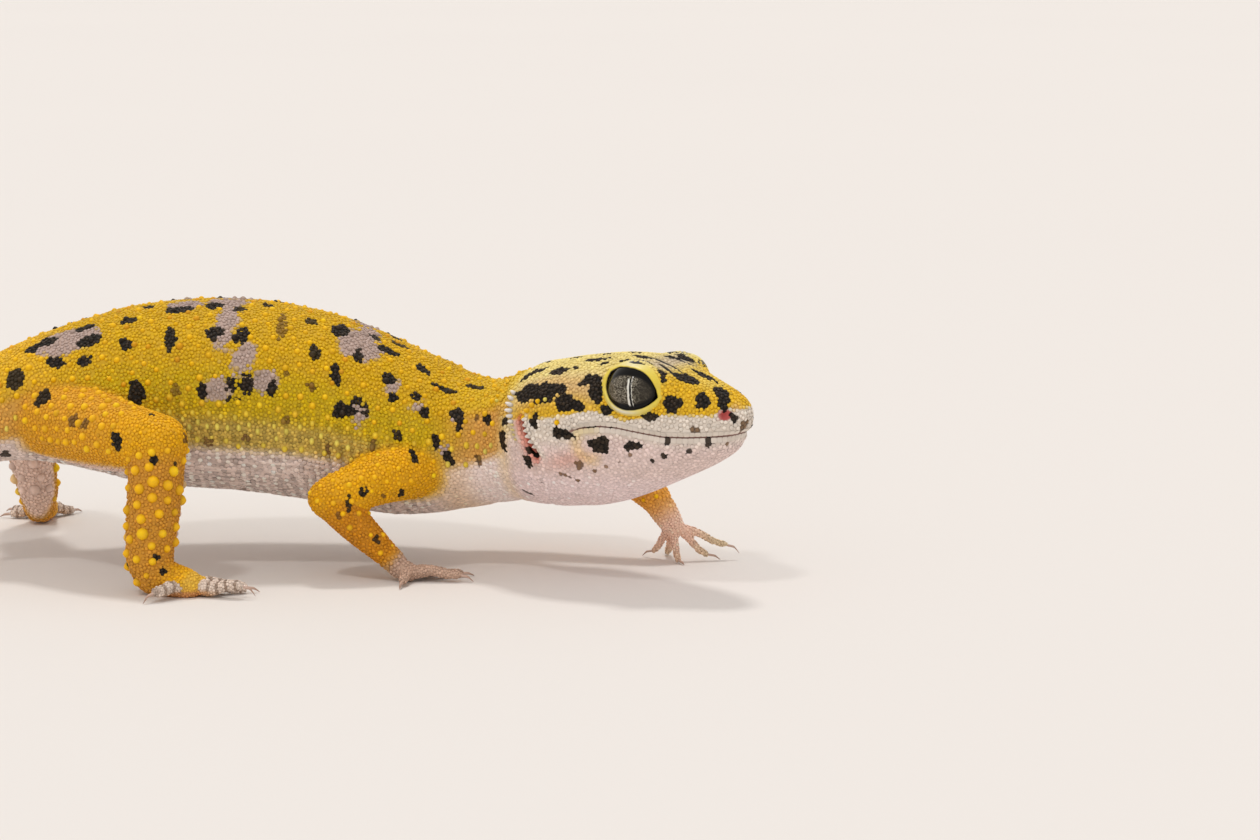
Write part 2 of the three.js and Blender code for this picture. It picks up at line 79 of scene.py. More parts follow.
# The body's own measures: distance along the spine from the snout, offset to the left, height.
spine = {
    "snout": (13.5, 0.75),
    "step": 0.5,
    "length": 166,
    # Distance from the snout, degrees away from +X.
    "bends": [
        (0, 33), (28, 33), (35, 27), (41, 19), (47, 12), (55, 5), (64, 0), (74, -5),
        (84, -10), (92, -15), (100, -20), (112, -26), (126, -12), (140, 12), (164, 40),
    ],
    # Distance from the snout, half width, widest level, top, bottom.
    "sections": [
        (0, 1.4, 18.5, 22.0, 17.6), (5, 5.0, 18.65, 24.6, 14.5), (8, 6.2, 18.7, 25.8, 13.1),
        (11.5, 7.2, 18.8, 26.7, 11.5), (15, 8.0, 19.0, 26.9, 10.0), (18, 8.9, 19.2, 26.7, 9.0),
        (21, 9.3, 19.1, 26.3, 8.5), (24, 9.0, 18.4, 25.7, 8.2), (27.5, 7.9, 17.2, 24.9, 8.1),
        (30.5, 7.2, 16.4, 23.7, 8.2), (33.5, 6.9, 15.3, 22.3, 7.6), (37, 7.7, 14.8, 22.3, 6.8),
        (42, 9.2, 15.0, 23.9, 5.9), (47, 10.5, 15.8, 26.1, 5.4), (53, 11.6, 17.3, 28.6, 6.2),
        (60, 12.3, 18.4, 30.4, 7.4), (67.5, 12.6, 19.0, 31.2, 8.3), (75, 12.2, 19.4, 30.9, 8.9),
        (81, 11.0, 19.5, 29.9, 10.0), (87.5, 9.4, 19.3, 28.0, 11.7), (93, 7.6, 18.8, 26.0, 12.4),
        (97, 6.0, 17.6, 23.9, 12.0), (100.5, 4.9, 15.9, 21.0, 10.8), (105, 4.9, 13.4, 18.4, 8.5),
        (111, 5.6, 10.6, 15.9, 5.5), (118, 6.0, 8.1, 13.3, 2.9), (125, 5.8, 6.3, 11.2, 1.3),
        (131, 5.2, 5.0, 9.5, 0.5), (138, 4.3, 3.9, 7.7, -0.1), (145, 3.3, 3.0, 6.0, -0.1),
        (152, 2.3, 2.1, 4.3, -0.1), (159, 1.3, 1.3, 2.6, 0.0), (166, 0.5, 0.7, 1.2, 0.15),
    ],
}

# Limbs from the root to the palm, radii there, and the digits as heading, reach and tip height.
limbs = {
    "right_fore": {
        "axis": [(-24.3, 17, 12.6), (-30, 12.2, 11.4), (-35, 10.3, 9.7), (-27.5, 10.2, 2.4),
                 (-25.7, 9.8, 1.1)],
        "radii": [4.0, 3.1, 2.5, 1.45, 1.18],
        "digitRadius": 0.66,
        "digits": [(-98, 3.2, 0.75), (-6, 5.8, 0.9), (20, 6.2, 0.55), (46, 5.2, 0.5), (85, 3.9, 0.5)],
    },
    "left_fore": {
        "axis": [(-18.5, 28, 13.2), (-12, 28.4, 13.8), (-5.4, 26.6, 14), (2.9, 22.6, 7.7),
                 (5, 22, 4.5)],
        "radii": [4.0, 3.0, 2.6, 2.05, 1.45],
        "digitRadius": 0.52,
        "digits": [(145, 2.6, 0.95), (-65, 1.7, 0.4), (0, 4.1, 0.8), (4, 6.4, 1.9), (97, 3.4, 0.4)],
    },
    "right_hind": {
        "axis": [(-68, 17.8, 18.2), (-60, 10.4, 17.2), (-53.7, 5.8, 16.9), (-54.8, 2.9, 3.9),
                 (-50.2, 1.5, 1.35)],
        "radii": [5.0, 4.4, 3.5, 2.75, 1.8],
        "digitRadius": 0.82,
        "digits": [(-133, 4.6, 1.15), (-15, 6.2, 1.55), (12, 6.2, 0.75), (38, 5.6, 0.6), (66, 4.4, 0.6)],
    },
    "left_hind": {
        "axis": [(-69.5, 27.4, 18), (-72.8, 35.2, 17.4), (-75.6, 42.2, 16.6), (-74.4, 45.3, 4.2),
                 (-74.2, 49, 1.35)],
        "radii": [5.0, 4.4, 3.4, 2.6, 1.6],
        "digitRadius": 0.74,
        "digits": [(172, 4.2, 0.6), (140, 5.8, 0.6), (112, 6.6, 0.6), (84, 6.2, 0.6), (50, 4.2, 0.6)],
    },
}


def ramp(value, low, high):
    t = np.clip((value - low) / (high - low), 0, 1)
    return t * t * (3 - 2 * t)


def bump(value, middle, width):
    return np.exp(-(((value - middle) / width) ** 2))


def tableAt(rows, at, column=1):
    table = np.array(rows, float)
    return np.interp(at, table[:, 0], table[:, column])


def smoothAt(rows, at):
    x, v = np.array(rows, float).T
    slope = np.empty(len(x))
    slope[1:-1] = (v[2:] - v[:-2]) / (x[2:] - x[:-2])
    slope[0] = (v[1] - v[0]) / (x[1] - x[0])
    slope[-1] = (v[-1] - v[-2]) / (x[-1] - x[-2])
    i = np.clip(np.searchsorted(x, at, side="right") - 1, 0, len(x) - 2)
    span = x[i + 1] - x[i]
    t = np.clip((at - x[i]) / span, 0, 1)
    rise = (3 - 2 * t) * t * t
    leave = (t - 1) ** 2 * t * span
    arrive = (t - 1) * t * t * span
    return v[i] * (1 - rise) + v[i + 1] * rise + slope[i] * leave + slope[i + 1] * arrive


def traceSpine():
    step = spine["step"]
    at = np.arange(0, spine["length"], step)
    turn = np.radians(smoothAt(spine["bends"], at + step / 2))
    moves = np.stack([-np.cos(turn), np.sin(turn)], 1) * step
    line = np.array(spine["snout"]) + np.concatenate([[[0, 0]], np.cumsum(moves, 0)[:-1]])
    heading = np.radians(smoothAt(spine["bends"], at))
    ahead = np.stack([np.cos(heading), -np.sin(heading)], 1)
    left = np.stack([np.sin(heading), np.cos(heading)], 1)
    return at, line, ahead, left


spineAt, spineLine, spineAhead, spineLeft = traceSpine()


def bodyPlace(points):
    at = np.empty(len(points))
    side = np.empty(len(points))
    for start in range(0, len(points), 20000):
        part = slice(start, start + 20000)
        flat = points[part, :2]
        i = ((flat[:, None] - spineLine[None]) ** 2).sum(2).argmin(1)
        reach = flat - spineLine[i]
        at[part] = spineAt[i] - (reach * spineAhead[i]).sum(1)
        side[part] = (reach * spineLeft[i]).sum(1)
    return at, side


def spineIndex(at):
    return min(max(int(round(at / spine["step"])), 0), len(spineAt) - 1)


def spineAxes(i):
    return Vector((*spineAhead[i], 0)), Vector((*spineLeft[i], 0))


def bodyPoint(at, side, height):
    i = spineIndex(at)
    flat = spineLine[i] + spineAhead[i] * (spineAt[i] - at) + spineLeft[i] * side
    return Vector((flat[0], flat[1], height))


def alongLine(points, line, radii):
    # Nearest place on a line of joints: distance along it and distance from its surface.
    best = np.full(len(points), 1e9)
    along = np.zeros(len(points))
    start = 0.0
    for k in range(len(line) - 1):
        a, b = np.array(line[k], float), np.array(line[k + 1], float)
        span = b - a
        length = np.linalg.norm(span)
        t = np.clip(((points - a) @ span) / length**2, 0, 1)
        radius = radii[k] + (radii[k + 1] - radii[k]) * t
        away = np.linalg.norm(points - a - t[:, None] * span, axis=1) - radius
        nearer = away < best
        best[nearer] = away[nearer]
        along[nearer] = (start + t * length)[nearer]
        start += length
    return best, along, start


def digitLine(limb, digit):
    heading, reach, height = digit
    x, y, z = limb["axis"][-1]
    turn = math.radians(heading)
    tip = (x + math.cos(turn) * reach, y + math.sin(turn) * reach, height)
    return [(x, y, z * 0.8), tip]


def places(points):
    # Where each point lies on the animal.
    at, side = bodyPlace(points)
    z = points[:, 2]
    half, level, top, bottom = (tableAt(spine["sections"], at, k) for k in (1, 2, 3, 4))
    rise = z - level
    tall = np.where(rise > 0, top - level, level - bottom)
    reach = np.sqrt((side / half) ** 2 + (rise / tall) ** 2)
    place = {
        "at": at, "side": side, "z": z, "round": np.degrees(np.arctan2(-side, rise)),
        "away": (reach - 1) * np.minimum(half, tall),
    }
    place["away"] += np.maximum(at - spine["length"], 0) + np.maximum(-at, 0)
    best = np.full(len(points), 1e9)
    place["limb"] = np.zeros(len(points), int)
    place["along"] = np.zeros(len(points))
    place["digit"] = np.full(len(points), -1.0)
    for k, limb in enumerate(limbs.values()):
        away, along, length = alongLine(points, limb["axis"], limb["radii"])
        toe = np.full(len(points), -1.0)
        for digit in limb["digits"]:
            radius = limb["digitRadius"]
            near, out, _ = alongLine(points, digitLine(limb, digit), [radius, radius])
            closer = near < away
            away = np.minimum(near, away)
            toe = np.where(closer, out, toe)
            along = np.where(closer, length + out, along)
        closer = away < best
        best = np.minimum(away, best)
        place["limb"][closer] = k
        place["along"][closer] = (along / length)[closer]
        place["digit"][closer] = toe[closer]
    place["onLimb"] = ramp(place["away"] - best, -0.7, 1.1)
    # The sides of the hind legs that face each other.
    place["inner"] = np.zeros(len(points))
    for k, hand in ((2, -1), (3, 1)):
        axis = np.array(list(limbs.values())[k]["axis"])[:4]
        middle = np.interp(z, axis[::-1, 2], axis[::-1, 1])
        inner = ramp((points[:, 1] - middle) * hand, -0.3, -1.4)
        inner = np.where(place["along"] < 0.48, ramp(z, 14.6, 13.6), inner)
        place["inner"] = np.where(place["limb"] == k, inner, place["inner"])
    return place


# The eyes: the ball's place and size, and the outlines of the opening and of the ring of lids.
# Outlines are degrees round the eye from its front, upward, and millimetres from its middle.
eye = {
    "at": 12.2, "side": 4.45, "height": 23.35, "radius": 3.35, "forward": 8, "upward": 13,
    "flatFrom": 3.0,
    "opening": [
        (-180, 3.14), (-160, 2.84), (-135, 2.58), (-110, 2.48), (-80, 2.5), (-60, 2.62), (-44, 2.8),
        (-27, 3.0), (-12, 3.32), (-2, 3.1), (11, 2.88), (25, 2.7), (45, 2.5), (67, 2.3),
        (90, 2.24), (112, 2.46), (135, 3.0), (150, 3.36), (163, 3.32), (180, 3.14),
    ],
    "ring": [
        (-180, 3.68), (-160, 3.44), (-140, 3.16), (-120, 3.0), (-83, 2.94), (-55, 3.16),
        (-38, 3.38), (-20, 3.62), (-8, 3.62), (5, 3.42), (20, 3.34), (35, 3.28), (49, 3.2),
        (71, 3.08), (90, 3.06), (112, 3.28), (135, 3.6), (150, 3.84), (165, 3.8), (180, 3.68),
    ],
    # How far out the outer edge of the lids lies.
    "rim": [
        (-180, 1.4), (-165, 1.54), (-135, 1.68), (-105, 1.62), (-75, 1.52), (-45, 1.32), (-15, 1.08),
        (0, 1.08), (15, 1.04), (30, 0.85), (45, 0.62), (60, 0.46), (75, 0.4), (90, 0.28), (105, -0.05),
        (120, -0.25), (135, -0.08), (150, 0.42), (165, 1.1), (180, 1.4),
    ],
}


def eyeFrame(hand):
    yaw = math.radians(spine["bends"][0][1])
    ahead = Vector((math.cos(yaw), -math.sin(yaw), 0))
    left = Vector((math.sin(yaw), math.cos(yaw), 0))
    turn, lift = math.radians(eye["forward"]), math.radians(eye["upward"])
    out = (left * hand * math.cos(turn) + ahead * math.sin(turn)) * math.cos(lift)
    out += Vector((0, 0, math.sin(lift)))
    forward = (ahead - out * ahead.dot(out)).normalized()
    up = out.cross(forward) * -hand
    if up.z < 0:
        up = -up
    return bodyPoint(eye["at"], eye["side"] * hand, eye["height"]), out, forward, up


def eyePlace(points, hand):
    centre, out, forward, up = (np.array(v) for v in eyeFrame(hand))
    reach = points - centre
    depth, across, rise = reach @ out, reach @ forward, reach @ up
    return depth, across, rise, np.hypot(across, rise), np.degrees(np.arctan2(rise, across))


def meshPoints(mesh, kind="co"):
    flat = np.empty(len(mesh.vertices) * 3, np.float32)
    mesh.vertices.foreach_get(kind, flat)
    return flat.reshape(-1, 3).astype(float)


def meshNormals(mesh):
    return meshPoints(mesh, "normal")


def setPoints(mesh, points):
    mesh.vertices.foreach_set("co", points.astype(np.float32).ravel())
    mesh.update()


def setNumbers(mesh, name, values):
    kind = "FLOAT" if values.ndim == 1 else "FLOAT_COLOR"
    attribute = mesh.attributes.new(name, kind, "POINT")
    if values.ndim == 2:
        values = np.concatenate([values, np.ones((len(values), 1))], 1)
    attribute.data.foreach_set("value" if kind == "FLOAT" else "color", values.astype(np.float32).ravel())


def meshFrom(bm, name, smooth=False):
    mesh = bpy.data.meshes.new(name)
    bm.to_mesh(mesh)
    bm.free()
    if smooth:
        mesh.shade_smooth()
    return mesh


def addObject(name, mesh, material=None):
    obj = bpy.data.objects.new(name, mesh)
    scene.collection.objects.link(obj)
    if material:
        mesh.materials.append(material)
    return obj


def applied(obj):
    mesh = bpy.data.meshes.new_from_object(obj.evaluated_get(bpy.context.evaluated_depsgraph_get()))
    bpy.data.objects.remove(obj)
    return mesh


# Skin

skinParts = {
    "voxel": 0.25,
    # How far each length runs into the next, and how deep its end face is read.
    "overlap": 0.7,
    "endDepth": 0.12,
    "relaxing": 90,
    "triangles": 172000,
    # The skin lies this far inside the solids, under the scales.
    "coatDepth": 0.06,
    "digitSwell": 0.07,
    # Balls that fill out the flesh: those at the limbs' joints as a share of the radius there, the
    # brow over the eye as depth out and stretch, and the bulge before the ear as place, stretch
    # and turn.
    "jointShare": 0.96,
    "brow": (1.1, (1.2, 3.9, 3.3)),
    "earBulge": ((24.4, 7.9, 17.3), (1.1, 1.3, 2.9), -33),
}
bodyNodes = ["neck", "trunk_front", "trunk_rear", "pelvis"] + [f"tail_{i}" for i in range(1, 6)]
headNodes = ["head", "lower_jaw", "eyelid_right", "eyelid_left"]
limbParts = {"fore": ("upper_arm", "forearm", "hand"), "hind": ("thigh", "shank", "foot")}
limbNodes = [f"{part}_{name}" for name in limbs for part in limbParts[name.split("_")[1]]]


def takeFlesh(name):
    bm = bmesh.new()
    bm.from_mesh(nodes[name].data)
    bmesh.ops.transform(bm, matrix=toWalk, verts=bm.verts)
    bmesh.ops.remove_doubles(bm, verts=bm.verts, dist=0.004)
    return bm


def pushEnds(verts, front, back):
    # Runs a length of the body on into its neighbours, so that they join.
    points = np.array([v.co for v in verts])
    at, _ = bodyPlace(points)
    low, high = at.min(), at.max()
    for v, s in zip(verts, at):
        ahead = spineAxes(spineIndex(s))[0] * skinParts["overlap"]
        if front and s < low + skinParts["endDepth"]:
            v.co += ahead
        if back and s > high - skinParts["endDepth"]:
            v.co -= ahead


def addBall(bm, centre, radius, stretch=(1, 1, 1), turn=Matrix.Identity(3)):
    place = Matrix.Translation(Vector(centre)) @ turn.to_4x4() @ Matrix.Diagonal((*stretch, 1))
    bmesh.ops.create_icosphere(bm, subdivisions=4, radius=radius, matrix=place)


def gatherFlesh():
    bm = bmesh.new()
    for name in bodyNodes + headNodes + limbNodes:
        piece = takeFlesh(name)
        if name in bodyNodes + headNodes[:2]:
            pushEnds(piece.verts, name in bodyNodes, name != "tail_5")
        if name == "lower_jaw":
            at, _ = bodyPlace(np.array([v.co for v in piece.verts]))
            level = tableAt(spine["sections"], at, 2)
            for v, height in zip(piece.verts, level):
                if v.co.z > height - 0.5:
                    v.co.z += skinParts["overlap"]
        mesh = meshFrom(piece, name)
        bm.from_mesh(mesh)
        bpy.data.meshes.remove(mesh)
    for limb in limbs.values():
        for joint in (0, 2, 3):
            addBall(bm, limb["axis"][joint], limb["radii"][joint] * skinParts["jointShare"])
    for hand in hands.values():
        centre, out, forward, up = eyeFrame(hand)
        turn = Matrix((out, forward, up)).transposed()
        addBall(bm, centre, eye["radius"] + 0.1, turn=turn)
        depth, stretch = skinParts["brow"]
        addBall(bm, centre + out * depth, 1, stretch, turn)
        (at, side, height), stretch, lean = skinParts["earBulge"]
        lean = Matrix.Rotation(math.radians(lean), 3, "Z")
        addBall(bm, bodyPoint(at, side * hand, height), 1, stretch, lean)
    obj = addObject("flesh", meshFrom(bm, "flesh"))
    remesh = obj.modifiers.new("remesh", "REMESH")
    remesh.mode = "VOXEL"
    remesh.voxel_size = skinParts["voxel"]
    return applied(obj)


def dropBubbles(mesh):
    # Keeps the outer surface only.
    bm = bmesh.new()
    bm.from_mesh(mesh)
    seen = set()
    pieces = []
    for first in bm.verts:
        if first in seen:
            continue
        seen.add(first)
        piece = [first]
        for v in piece:
            for edge in v.link_edges:
                other = edge.other_vert(v)
                if other not in seen:
                    seen.add(other)
                    piece.append(other)
        pieces.append(piece)
    pieces.sort(key=len)
    for piece in pieces[:-1]:
        bmesh.ops.delete(bm, geom=piece, context="VERTS")
    print("bubbles dropped", len(pieces) - 1)
    bm.to_mesh(mesh)
    bm.free()


def edgeEnds(mesh):
    ends = np.empty(len(mesh.edges) * 2, np.int32)
    mesh.edges.foreach_get("vertices", ends)
    return ends.reshape(-1, 2).T


def relax(values, ends, strength, rounds):
    a, b = ends
    count = np.bincount(a, minlength=len(values)) + np.bincount(b, minlength=len(values))
    strength = np.broadcast_to(np.asarray(strength, float), (len(values),)) * 0.5
    for _ in range(rounds):
        mean = np.stack([
            np.bincount(a, values[b, k], len(values)) + np.bincount(b, values[a, k], len(values))
            for k in range(values.shape[1])
        ], 1) / count[:, None]
        values = values + (mean - values) * strength[:, None]
    return values


def thinOut(mesh, busy):
    # Fewer faces away from the head and the feet.
    obj = addObject("thin", mesh)
    group = obj.vertex_groups.new(name="plain")
    for i in np.flatnonzero(~busy):
        group.add([int(i)], 1.0, "ADD")
    faces = sum(len(p.vertices) - 2 for p in mesh.polygons)
    print("triangles before thinning", faces)
    thin = obj.modifiers.new("thin", "DECIMATE")
    thin.ratio = min(1, skinParts["triangles"] / faces)
    thin.vertex_group = "plain"
    thin.use_collapse_triangulate = True
    return applied(obj)


headCarving = {
    # Distance from the snout, height of the line between the lips.
    "mouth": [
        (-1, 18.85), (1.7, 18.7), (3.6, 18.6), (5.5, 18.5), (7.8, 18.5), (9.3, 18.7), (10.6, 18.9),
        (11.9, 19.1), (13.2, 19.3), (15.2, 19.35), (16.2, 19.2), (17.2, 19.05), (18.6, 18.6), (19.6, 17.9),
    ],
    "mouthEnd": 19.4,
    "lipDepth": 0.3,
    # Relief is given as middle, half width and rise. The lips swell above and below the mouth.
    "lips": [(0.6, 0.45, 0.12), (-0.5, 0.35, 0.06)],
    # Distance from the snout, height of the edge between the yellow and the white of the lip.
    "lipEdge": [
        (0, 22), (1.5, 21.5), (2.6, 21.1), (7.8, 21.1), (12, 20.3), (16, 21.2), (20, 20.3),
        (24, 19.6), (27, 19.2),
    ],
    "nostril": {"at": 1.75, "height": 21.1, "radius": 0.4, "depth": 0.65},
    "ear": {"at": 24.55, "height": 17.2, "lean": 28, "length": 2.75},
    # Across the ear: the opening, the flap before it and the ridge behind it.
    "earRelief": [(0, 0.55, -1.3), (-1.0, 0.4, 0.35), (1.2, 0.5, 0.25)],
    # Degrees down from the nape, distance from the snout of the fold behind the head.
    "napeFold": [(0, 31.6), (23, 31.1), (56, 29.4), (73, 27.9), (95, 26.9)],
    "napeRelief": [(-0.7, 0.5, 0.22), (0.2, 0.4, -0.3), (1.1, 0.6, 0.2)],
    # Creases of loose skin under the throat: distance from the snout, depth.
    "throatCreases": [(25.5, 0.14), (30.2, 0.2), (34.0, 0.16), (38.2, 0.16)],
}


def relief(value, rows):
    return sum(rise * bump(value, middle, width) for middle, width, rise in rows)


def mouthHeight(at):
    return np.interp(at, *np.array(headCarving["mouth"]).T)


def nostrilReach(at, z):
    return np.hypot(at - headCarving["nostril"]["at"], z - headCarving["nostril"]["height"])


def earPlace(at, z):
    ear = headCarving["ear"]
    lean = math.radians(ear["lean"])
    back, rise = at - ear["at"], z - ear["height"]
    return back * math.sin(lean) + rise * math.cos(lean), back * math.cos(lean) - rise * math.sin(lean)


def carveHead(points, normals, place):
    at, side, z = place["at"], place["side"], place["z"]
    down = np.abs(place["round"])
    free = 1 - place["onLimb"]
    rise = np.zeros(len(points))
    lip = z - mouthHeight(at)
    fade = ramp(at, headCarving["mouthEnd"], headCarving["mouthEnd"] - 1.5)
    rise -= headCarving["lipDepth"] * fade * bump(lip, 0, 0.2)
    rise += fade * relief(lip, headCarving["lips"])
    # A soft fold runs back and down from the corner of the mouth.
    corner = bump(at, 20.3, 1.3) * bump(z - (17.6 - (at - 19.4) * 0.7), 0, 0.4)
    rise -= 0.12 * corner
    nostril = headCarving["nostril"]
    out = nostrilReach(at, z) / nostril["radius"]
    out += np.where(np.abs(side) < 1.6, 9, 0)
    rise += -nostril["depth"] * np.exp(-(out**2) * 0.8) + 0.1 * bump(out, 1.9, 0.6)
    ear = headCarving["ear"]
    length, across = earPlace(at, z)
    flank = ramp(np.abs(side), 5.5, 6.5) * ramp(at, 21, 22) * ramp(at, 29, 28)
    within = ramp(np.abs(length), ear["length"] + 0.2, ear["length"] - 1.0)
    rise += flank * within * relief(across, headCarving["earRelief"])
    fold = tableAt(headCarving["napeFold"], down)
    there = ramp(down, 105, 85) * free
    rise += there * relief(at - fold, headCarving["napeRelief"])
    under = ramp(down, 70, 110) * free
    for middle, depth in headCarving["throatCreases"]:
        wave = middle + 0.9 * np.sin(np.radians(down * 2.2))
        rise -= depth * under * bump(at, wave, 0.5)
    moved = points + normals * (rise * free)[:, None]
    for hand in hands.values():
        moved = carveSocket(moved, hand)
    return moved


def eyeOutline(name, turn):
    return np.interp(turn, *np.array(eye[name]).T)


def ballHeight(reach):
    # How far out the eyeball's surface lies, flat from just inside its edge.
    return np.sqrt(np.maximum(eye["radius"] ** 2 - np.minimum(reach, eye["flatFrom"]) ** 2, 0))


def carveSocket(points, hand):
    depth, _, _, reach, turn = eyePlace(points, hand)
    ring = eyeOutline("ring", turn)
    facing = ramp(depth, -1.5, -0.5)
    inside = ramp(reach, ring + 0.1, ring - 0.3) * facing
    floor = ballHeight(reach) - 0.8 - 0.7 * np.maximum(reach - eye["flatFrom"], 0)
    drop = np.maximum(depth - floor, 0) * inside
    crease = 0.3 * facing * bump(reach, ring + 0.15, 0.28) * (1 - inside)
    out = np.array(eyeFrame(hand)[1])
    return points - out * (drop + crease)[:, None]


bodyCarving = {
    # Upright folds low on the flank and over the belly, as a wave along the body.
    "foldPeriod": 1.4,
    "foldSway": 1.2,
    "foldDepth": 0.12,
    # Rings of scales round the tail.
    "tailPeriod": 3.1,
    "tailDepth": 0.16,
    # Where the limbs leave the body.
    "limbCrease": 0.25,
}


def folds(at, down):
    sway = bodyCarving["foldSway"] * np.sin(at * 0.9)
    return np.sin(at * 2 * math.pi / bodyCarving["foldPeriod"] + sway + down * 0.03)


def carveBody(points, normals, place):
    at = place["at"]
    down = np.abs(place["round"])
    free = 1 - place["onLimb"]
    trunk = ramp(at, 41, 46) * ramp(at, 97, 88) * free
    low = ramp(down, 88, 106) * ramp(down, 178, 150)
    rise = bodyCarving["foldDepth"] * trunk * low * folds(at, down)
    tail = ramp(at, 99, 103) * ramp(at, 163, 150) * free
    depth = bodyCarving["tailDepth"]
    rise += tail * (depth * np.abs(np.sin(at * math.pi / bodyCarving["tailPeriod"])) - depth / 2)
    edge = bump(place["onLimb"], 0.5, 0.3) * ramp(place["along"], 0.55, 0.3)
    rise -= bodyCarving["limbCrease"] * edge
    return points + normals * rise[:, None]


# Where the head ends, from the snout, and where a foot begins, as a share of its limb.
headEnd = 30.5
footStart = 0.93


def busyPlaces(place):
    head = (place["at"] < headEnd) & (place["onLimb"] < 0.5)
    foot = (place["along"] > footStart) & (place["onLimb"] > 0.5)
    return head | foot


def refine(mesh):
    # Doubles the faces at the mouth, the nostrils, the ears and the edges of the eyes.
    points = meshPoints(mesh)
    place = places(points)
    at, z = place["at"], place["z"]
    lip = z - mouthHeight(at)
    near = (np.abs(lip) < 0.55) & (at < 20)
    near |= nostrilReach(at, z) < 1.0
    length, across = earPlace(at, z)
    near |= (np.abs(length) < 3.2) & (np.abs(across) < 1.1)
    near &= (place["onLimb"] < 0.5) & (at < 30)
    for hand in hands.values():
        depth, _, _, reach, turn = eyePlace(points, hand)
        near |= (depth > 0) & (np.abs(reach - eyeOutline("ring", turn)) < 0.55)
    bm = bmesh.new()
    bm.from_mesh(mesh)
    bm.verts.ensure_lookup_table()
    edges = [e for e in bm.edges if near[e.verts[0].index] and near[e.verts[1].index]]
    bmesh.ops.subdivide_edges(bm, edges=edges, cuts=1, use_grid_fill=True)
    bmesh.ops.triangulate(bm, faces=bm.faces)
    bm.to_mesh(mesh)
    bm.free()


def makeSkin():
    mesh = gatherFlesh()
    dropBubbles(mesh)
    points = meshPoints(mesh)
    place = places(points)
    at = place["at"]
    foot = ramp(place["along"], 0.84, 0.95)
    limb = 0.45 * (1 - foot) + 0.05 * foot
    body = 0.3 + 0.7 * ramp(at, 24, 36) - 0.45 * ramp(at, 97, 106) - 0.4 * ramp(at, 125, 155)
    strength = body * (1 - place["onLimb"]) + limb * place["onLimb"]
    swell = skinParts["digitSwell"] * foot * place["onLimb"] - skinParts["coatDepth"]
    points += meshNormals(mesh) * swell[:, None]
    ends = edgeEnds(mesh)
    setPoints(mesh, relax(points, ends, strength, skinParts["relaxing"]))
    print("flesh relaxed", len(points))
    mesh = thinOut(mesh, busyPlaces(place))
    refine(mesh)
    points = meshPoints(mesh)
    place = places(points)
    points = carveHead(points, meshNormals(mesh), place)
    setPoints(mesh, points)
    points = carveBody(points, meshNormals(mesh), place)
    points[:, 2] = np.maximum(points[:, 2], 0.0)
    setPoints(mesh, points)
    eased = 0.35 * (1 - place["onLimb"])
    setPoints(mesh, relax(points, edgeEnds(mesh), eased, 1))
    mesh.shade_smooth()
    return mesh


skinMesh = makeSkin()
skinPoints = meshPoints(skinMesh)
skinNormals = meshNormals(skinMesh)
skinPlace = places(skinPoints)
skinFaces = np.array([tuple(f.vertices) for f in skinMesh.polygons])
skinTree = BVHTree.FromPolygons([Vector(p) for p in skinPoints], skinFaces.tolist())
print("skin shaped", len(skinMesh.polygons))

# Markings

